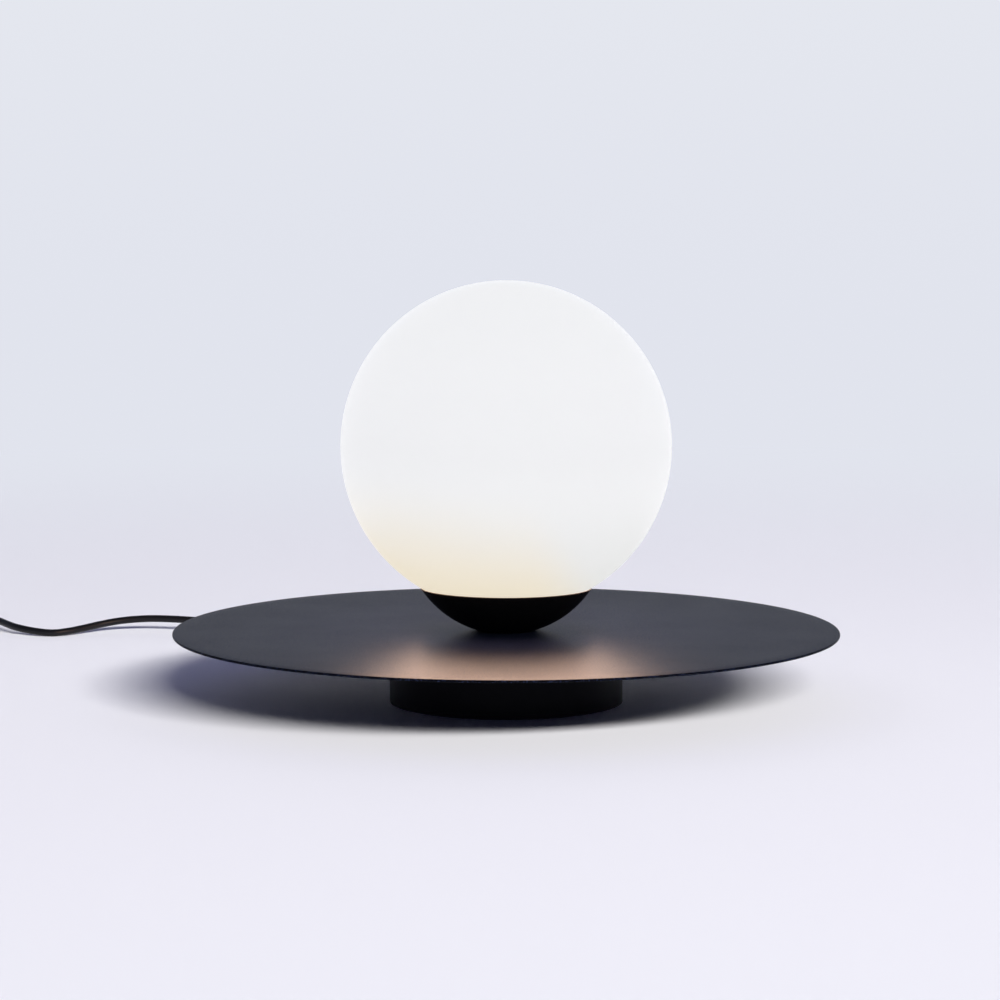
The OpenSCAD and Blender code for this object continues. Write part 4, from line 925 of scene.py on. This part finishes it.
WARM = (1.0, 0.74, 0.46)
bulb_plastic = moulded("bulb_plastic", (0.74, 0.74, 0.71), (0.69, 0.69, 0.66),
                       rough=0.3, swing=0.1, scale=900.0, strength=0.06)
tin = moulded("tin_wire", (0.7, 0.7, 0.71), (0.62, 0.62, 0.64),
              rough=0.25, swing=0.15, scale=500.0, strength=0.08, Metallic=1.0)
chips = moulded("light_board", (0.75, 0.68, 0.42), (0.7, 0.62, 0.36),
                rough=0.5, swing=0.1, scale=800.0, strength=0.08,
                Emission_Color=WARM, Emission_Strength=1.2)
frosted = moulded("frosted_plastic", (0.5, 0.48, 0.43), (0.47, 0.45, 0.4),
                  rough=0.45, swing=0.1, scale=900.0, strength=0.08,
                  Emission_Color=WARM, Emission_Strength=0.42)
coat(bulb_plastic, "bulb_base")
coat(tin, "bulb_pins")
coat(chips, "bulb_board")
coat(frosted, "bulb_cover")


# Globe
# A ball of mouth-blown opal glass with a short neck, milk white all through, with a soft gloss. Lit from
# inside, it glows, a little warmer low down by the bulb. Its glow is painted brighter towards the top
# and at the bottom to fill in the studio shade, so it reads evenly, and painted cooler on its right side
# as painted key light. It sits loose in the cup.

GLASS_WALL = 3.0
NECK_R = 31.0
NECK_LONG = 6.0
NECK_EDGE = 0.9
NECK_STEPS = 4
POLE_DIGITS = 6
GLASS_STEPS = 72
glass_in = GLOBE_R - GLASS_WALL
neck_in = NECK_R - GLASS_WALL
neck_low = globe_z - math.sqrt(GLOBE_R ** 2 - NECK_R ** 2) - NECK_LONG
outer_start = math.degrees(math.asin(NECK_R / GLOBE_R)) - 90
inner_start = math.degrees(math.asin(neck_in / glass_in)) - 90
globe_profile = [(neck_in, neck_low + NECK_EDGE)] + arc(0.0, globe_z, glass_in, inner_start, 90, GLASS_STEPS)
globe_profile += arc(0.0, globe_z, GLOBE_R, 90, outer_start, GLASS_STEPS)
globe_profile += arc(NECK_R - NECK_EDGE, neck_low + NECK_EDGE, NECK_EDGE, 0, -90, NECK_STEPS)
globe_profile += arc(neck_in + NECK_EDGE, neck_low + NECK_EDGE, NECK_EDGE, -90, -180, NECK_STEPS)
globe_profile = [(round(r, POLE_DIGITS), z) for r, z in globe_profile]
# Painted light: the glow's levels by height are raised at the top and bottom to fill in studio shade.
GLOW_LOW = 0.06
GLOW_HIGH = 0.255
PAINTED_EVEN_GLOW_LEVELS = ((0.09, 0.71), (0.25, 0.665), (0.49, 0.63), (0.65, 0.67), (1.0, 0.81))
WARM_TINT = (1.115, 1.0, 0.765)
COOL_TINT_AND_PAINTED_KEY = (1.03, 1.035, 1.005)
TINT_BAND = (0.074, 0.148)
PAINTED_KEY_SIDE_BAND = (0.01, 0.075)
opal = Finish("opal_glass", Specular_IOR_Level=0.03, Emission_Strength=1.0)
opal_cloud = opal.grain(9.0, 2.0)
opal_height = opal.part(opal.where, "Z")
opal_painted_key_side = opal.part(opal.where, "X")
opal_level = opal.node("ShaderNodeMapRange", {}, {
    "Value": opal_height, "From Min": GLOW_LOW, "From Max": GLOW_HIGH})
opal_painted_stops = [(place, (level, level, level)) for place, level in PAINTED_EVEN_GLOW_LEVELS]
opal_painted_even_glow = opal.node("ShaderNodeValToRGB", {"stops": opal_painted_stops}, {"Fac": opal_level})
# Warmer low down by the bulb; the cooler tint towards +X is painted key light from the right side.
opal_warmth_and_painted_key = opal_height + 0.02 * opal_cloud + 0.12 * opal_painted_key_side + 0.06 * opal.rise(opal_painted_key_side, *PAINTED_KEY_SIDE_BAND)
opal_tint_and_painted_key = opal.blend(opal.rise(opal_warmth_and_painted_key, *TINT_BAND), WARM_TINT, COOL_TINT_AND_PAINTED_KEY)
opal_glow_with_painted_light = opal.node("ShaderNodeMix", {"data_type": "RGBA", "blend_type": "MULTIPLY"}, {
    "Factor_Float": 1.0, "A_Color": opal_painted_even_glow, "B_Color": opal_tint_and_painted_key}, 2)
opal.set(Base_Color=opal.blend(opal_cloud, (0.54, 0.545, 0.54), (0.56, 0.56, 0.555)),
         Roughness=0.38 + 0.05 * opal_cloud, Emission_Color=opal_glow_with_painted_light)
globe = turned("globe", globe_profile, opal, ROUND_DEG)
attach(globe, "globe")
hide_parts("opal_globe")


def all_but(pieces, name):
    """A group for a lamp that stands for everything except these pieces."""
    group = bpy.data.collections.new(name)
    for piece in pieces:
        group.objects.link(piece)
    for entry in group.collection_objects:
        entry.light_linking.link_state = "EXCLUDE"
    return group


GLOW_GAP = 0.4
GLOW_RADIUS = (GLOBE_R + GLOW_GAP) * MM
GLOW_POWER = 3.7
GLOW_COLOUR = (1.0, 0.64, 0.48)
glow = bpy.data.lights.new("lamp_glow", "POINT")
glow.color = GLOW_COLOUR
glow.shadow_soft_size = GLOW_RADIUS
glow.energy = GLOW_POWER
glow.use_soft_falloff = False
glow_holder = bpy.data.objects.new("lamp_glow", glow)
glow_holder.location = (0.0, 0.0, globe_z * MM)
glow_holder.visible_camera = False
scene.collection.objects.link(glow_holder)
glow_holder.parent = frame["bodies"]["globe"]
inside_globe = [frame["nodes"][node] for node in (
    "bulb_base", "bulb_cover", "lampholder", "holder_strap", "spring_collar", "globe_gasket")]
for holder, left_out in ((glow_holder, (globe, sweep, *inside_globe)), (front_box, (globe,))):
    holder.light_linking.receiver_collection = all_but(left_out, "unlit_by_" + holder.name)
for holder in (front_box, paper_box):
    holder.light_linking.blocker_collection = all_but((globe,), "no_shade_from_" + holder.name)
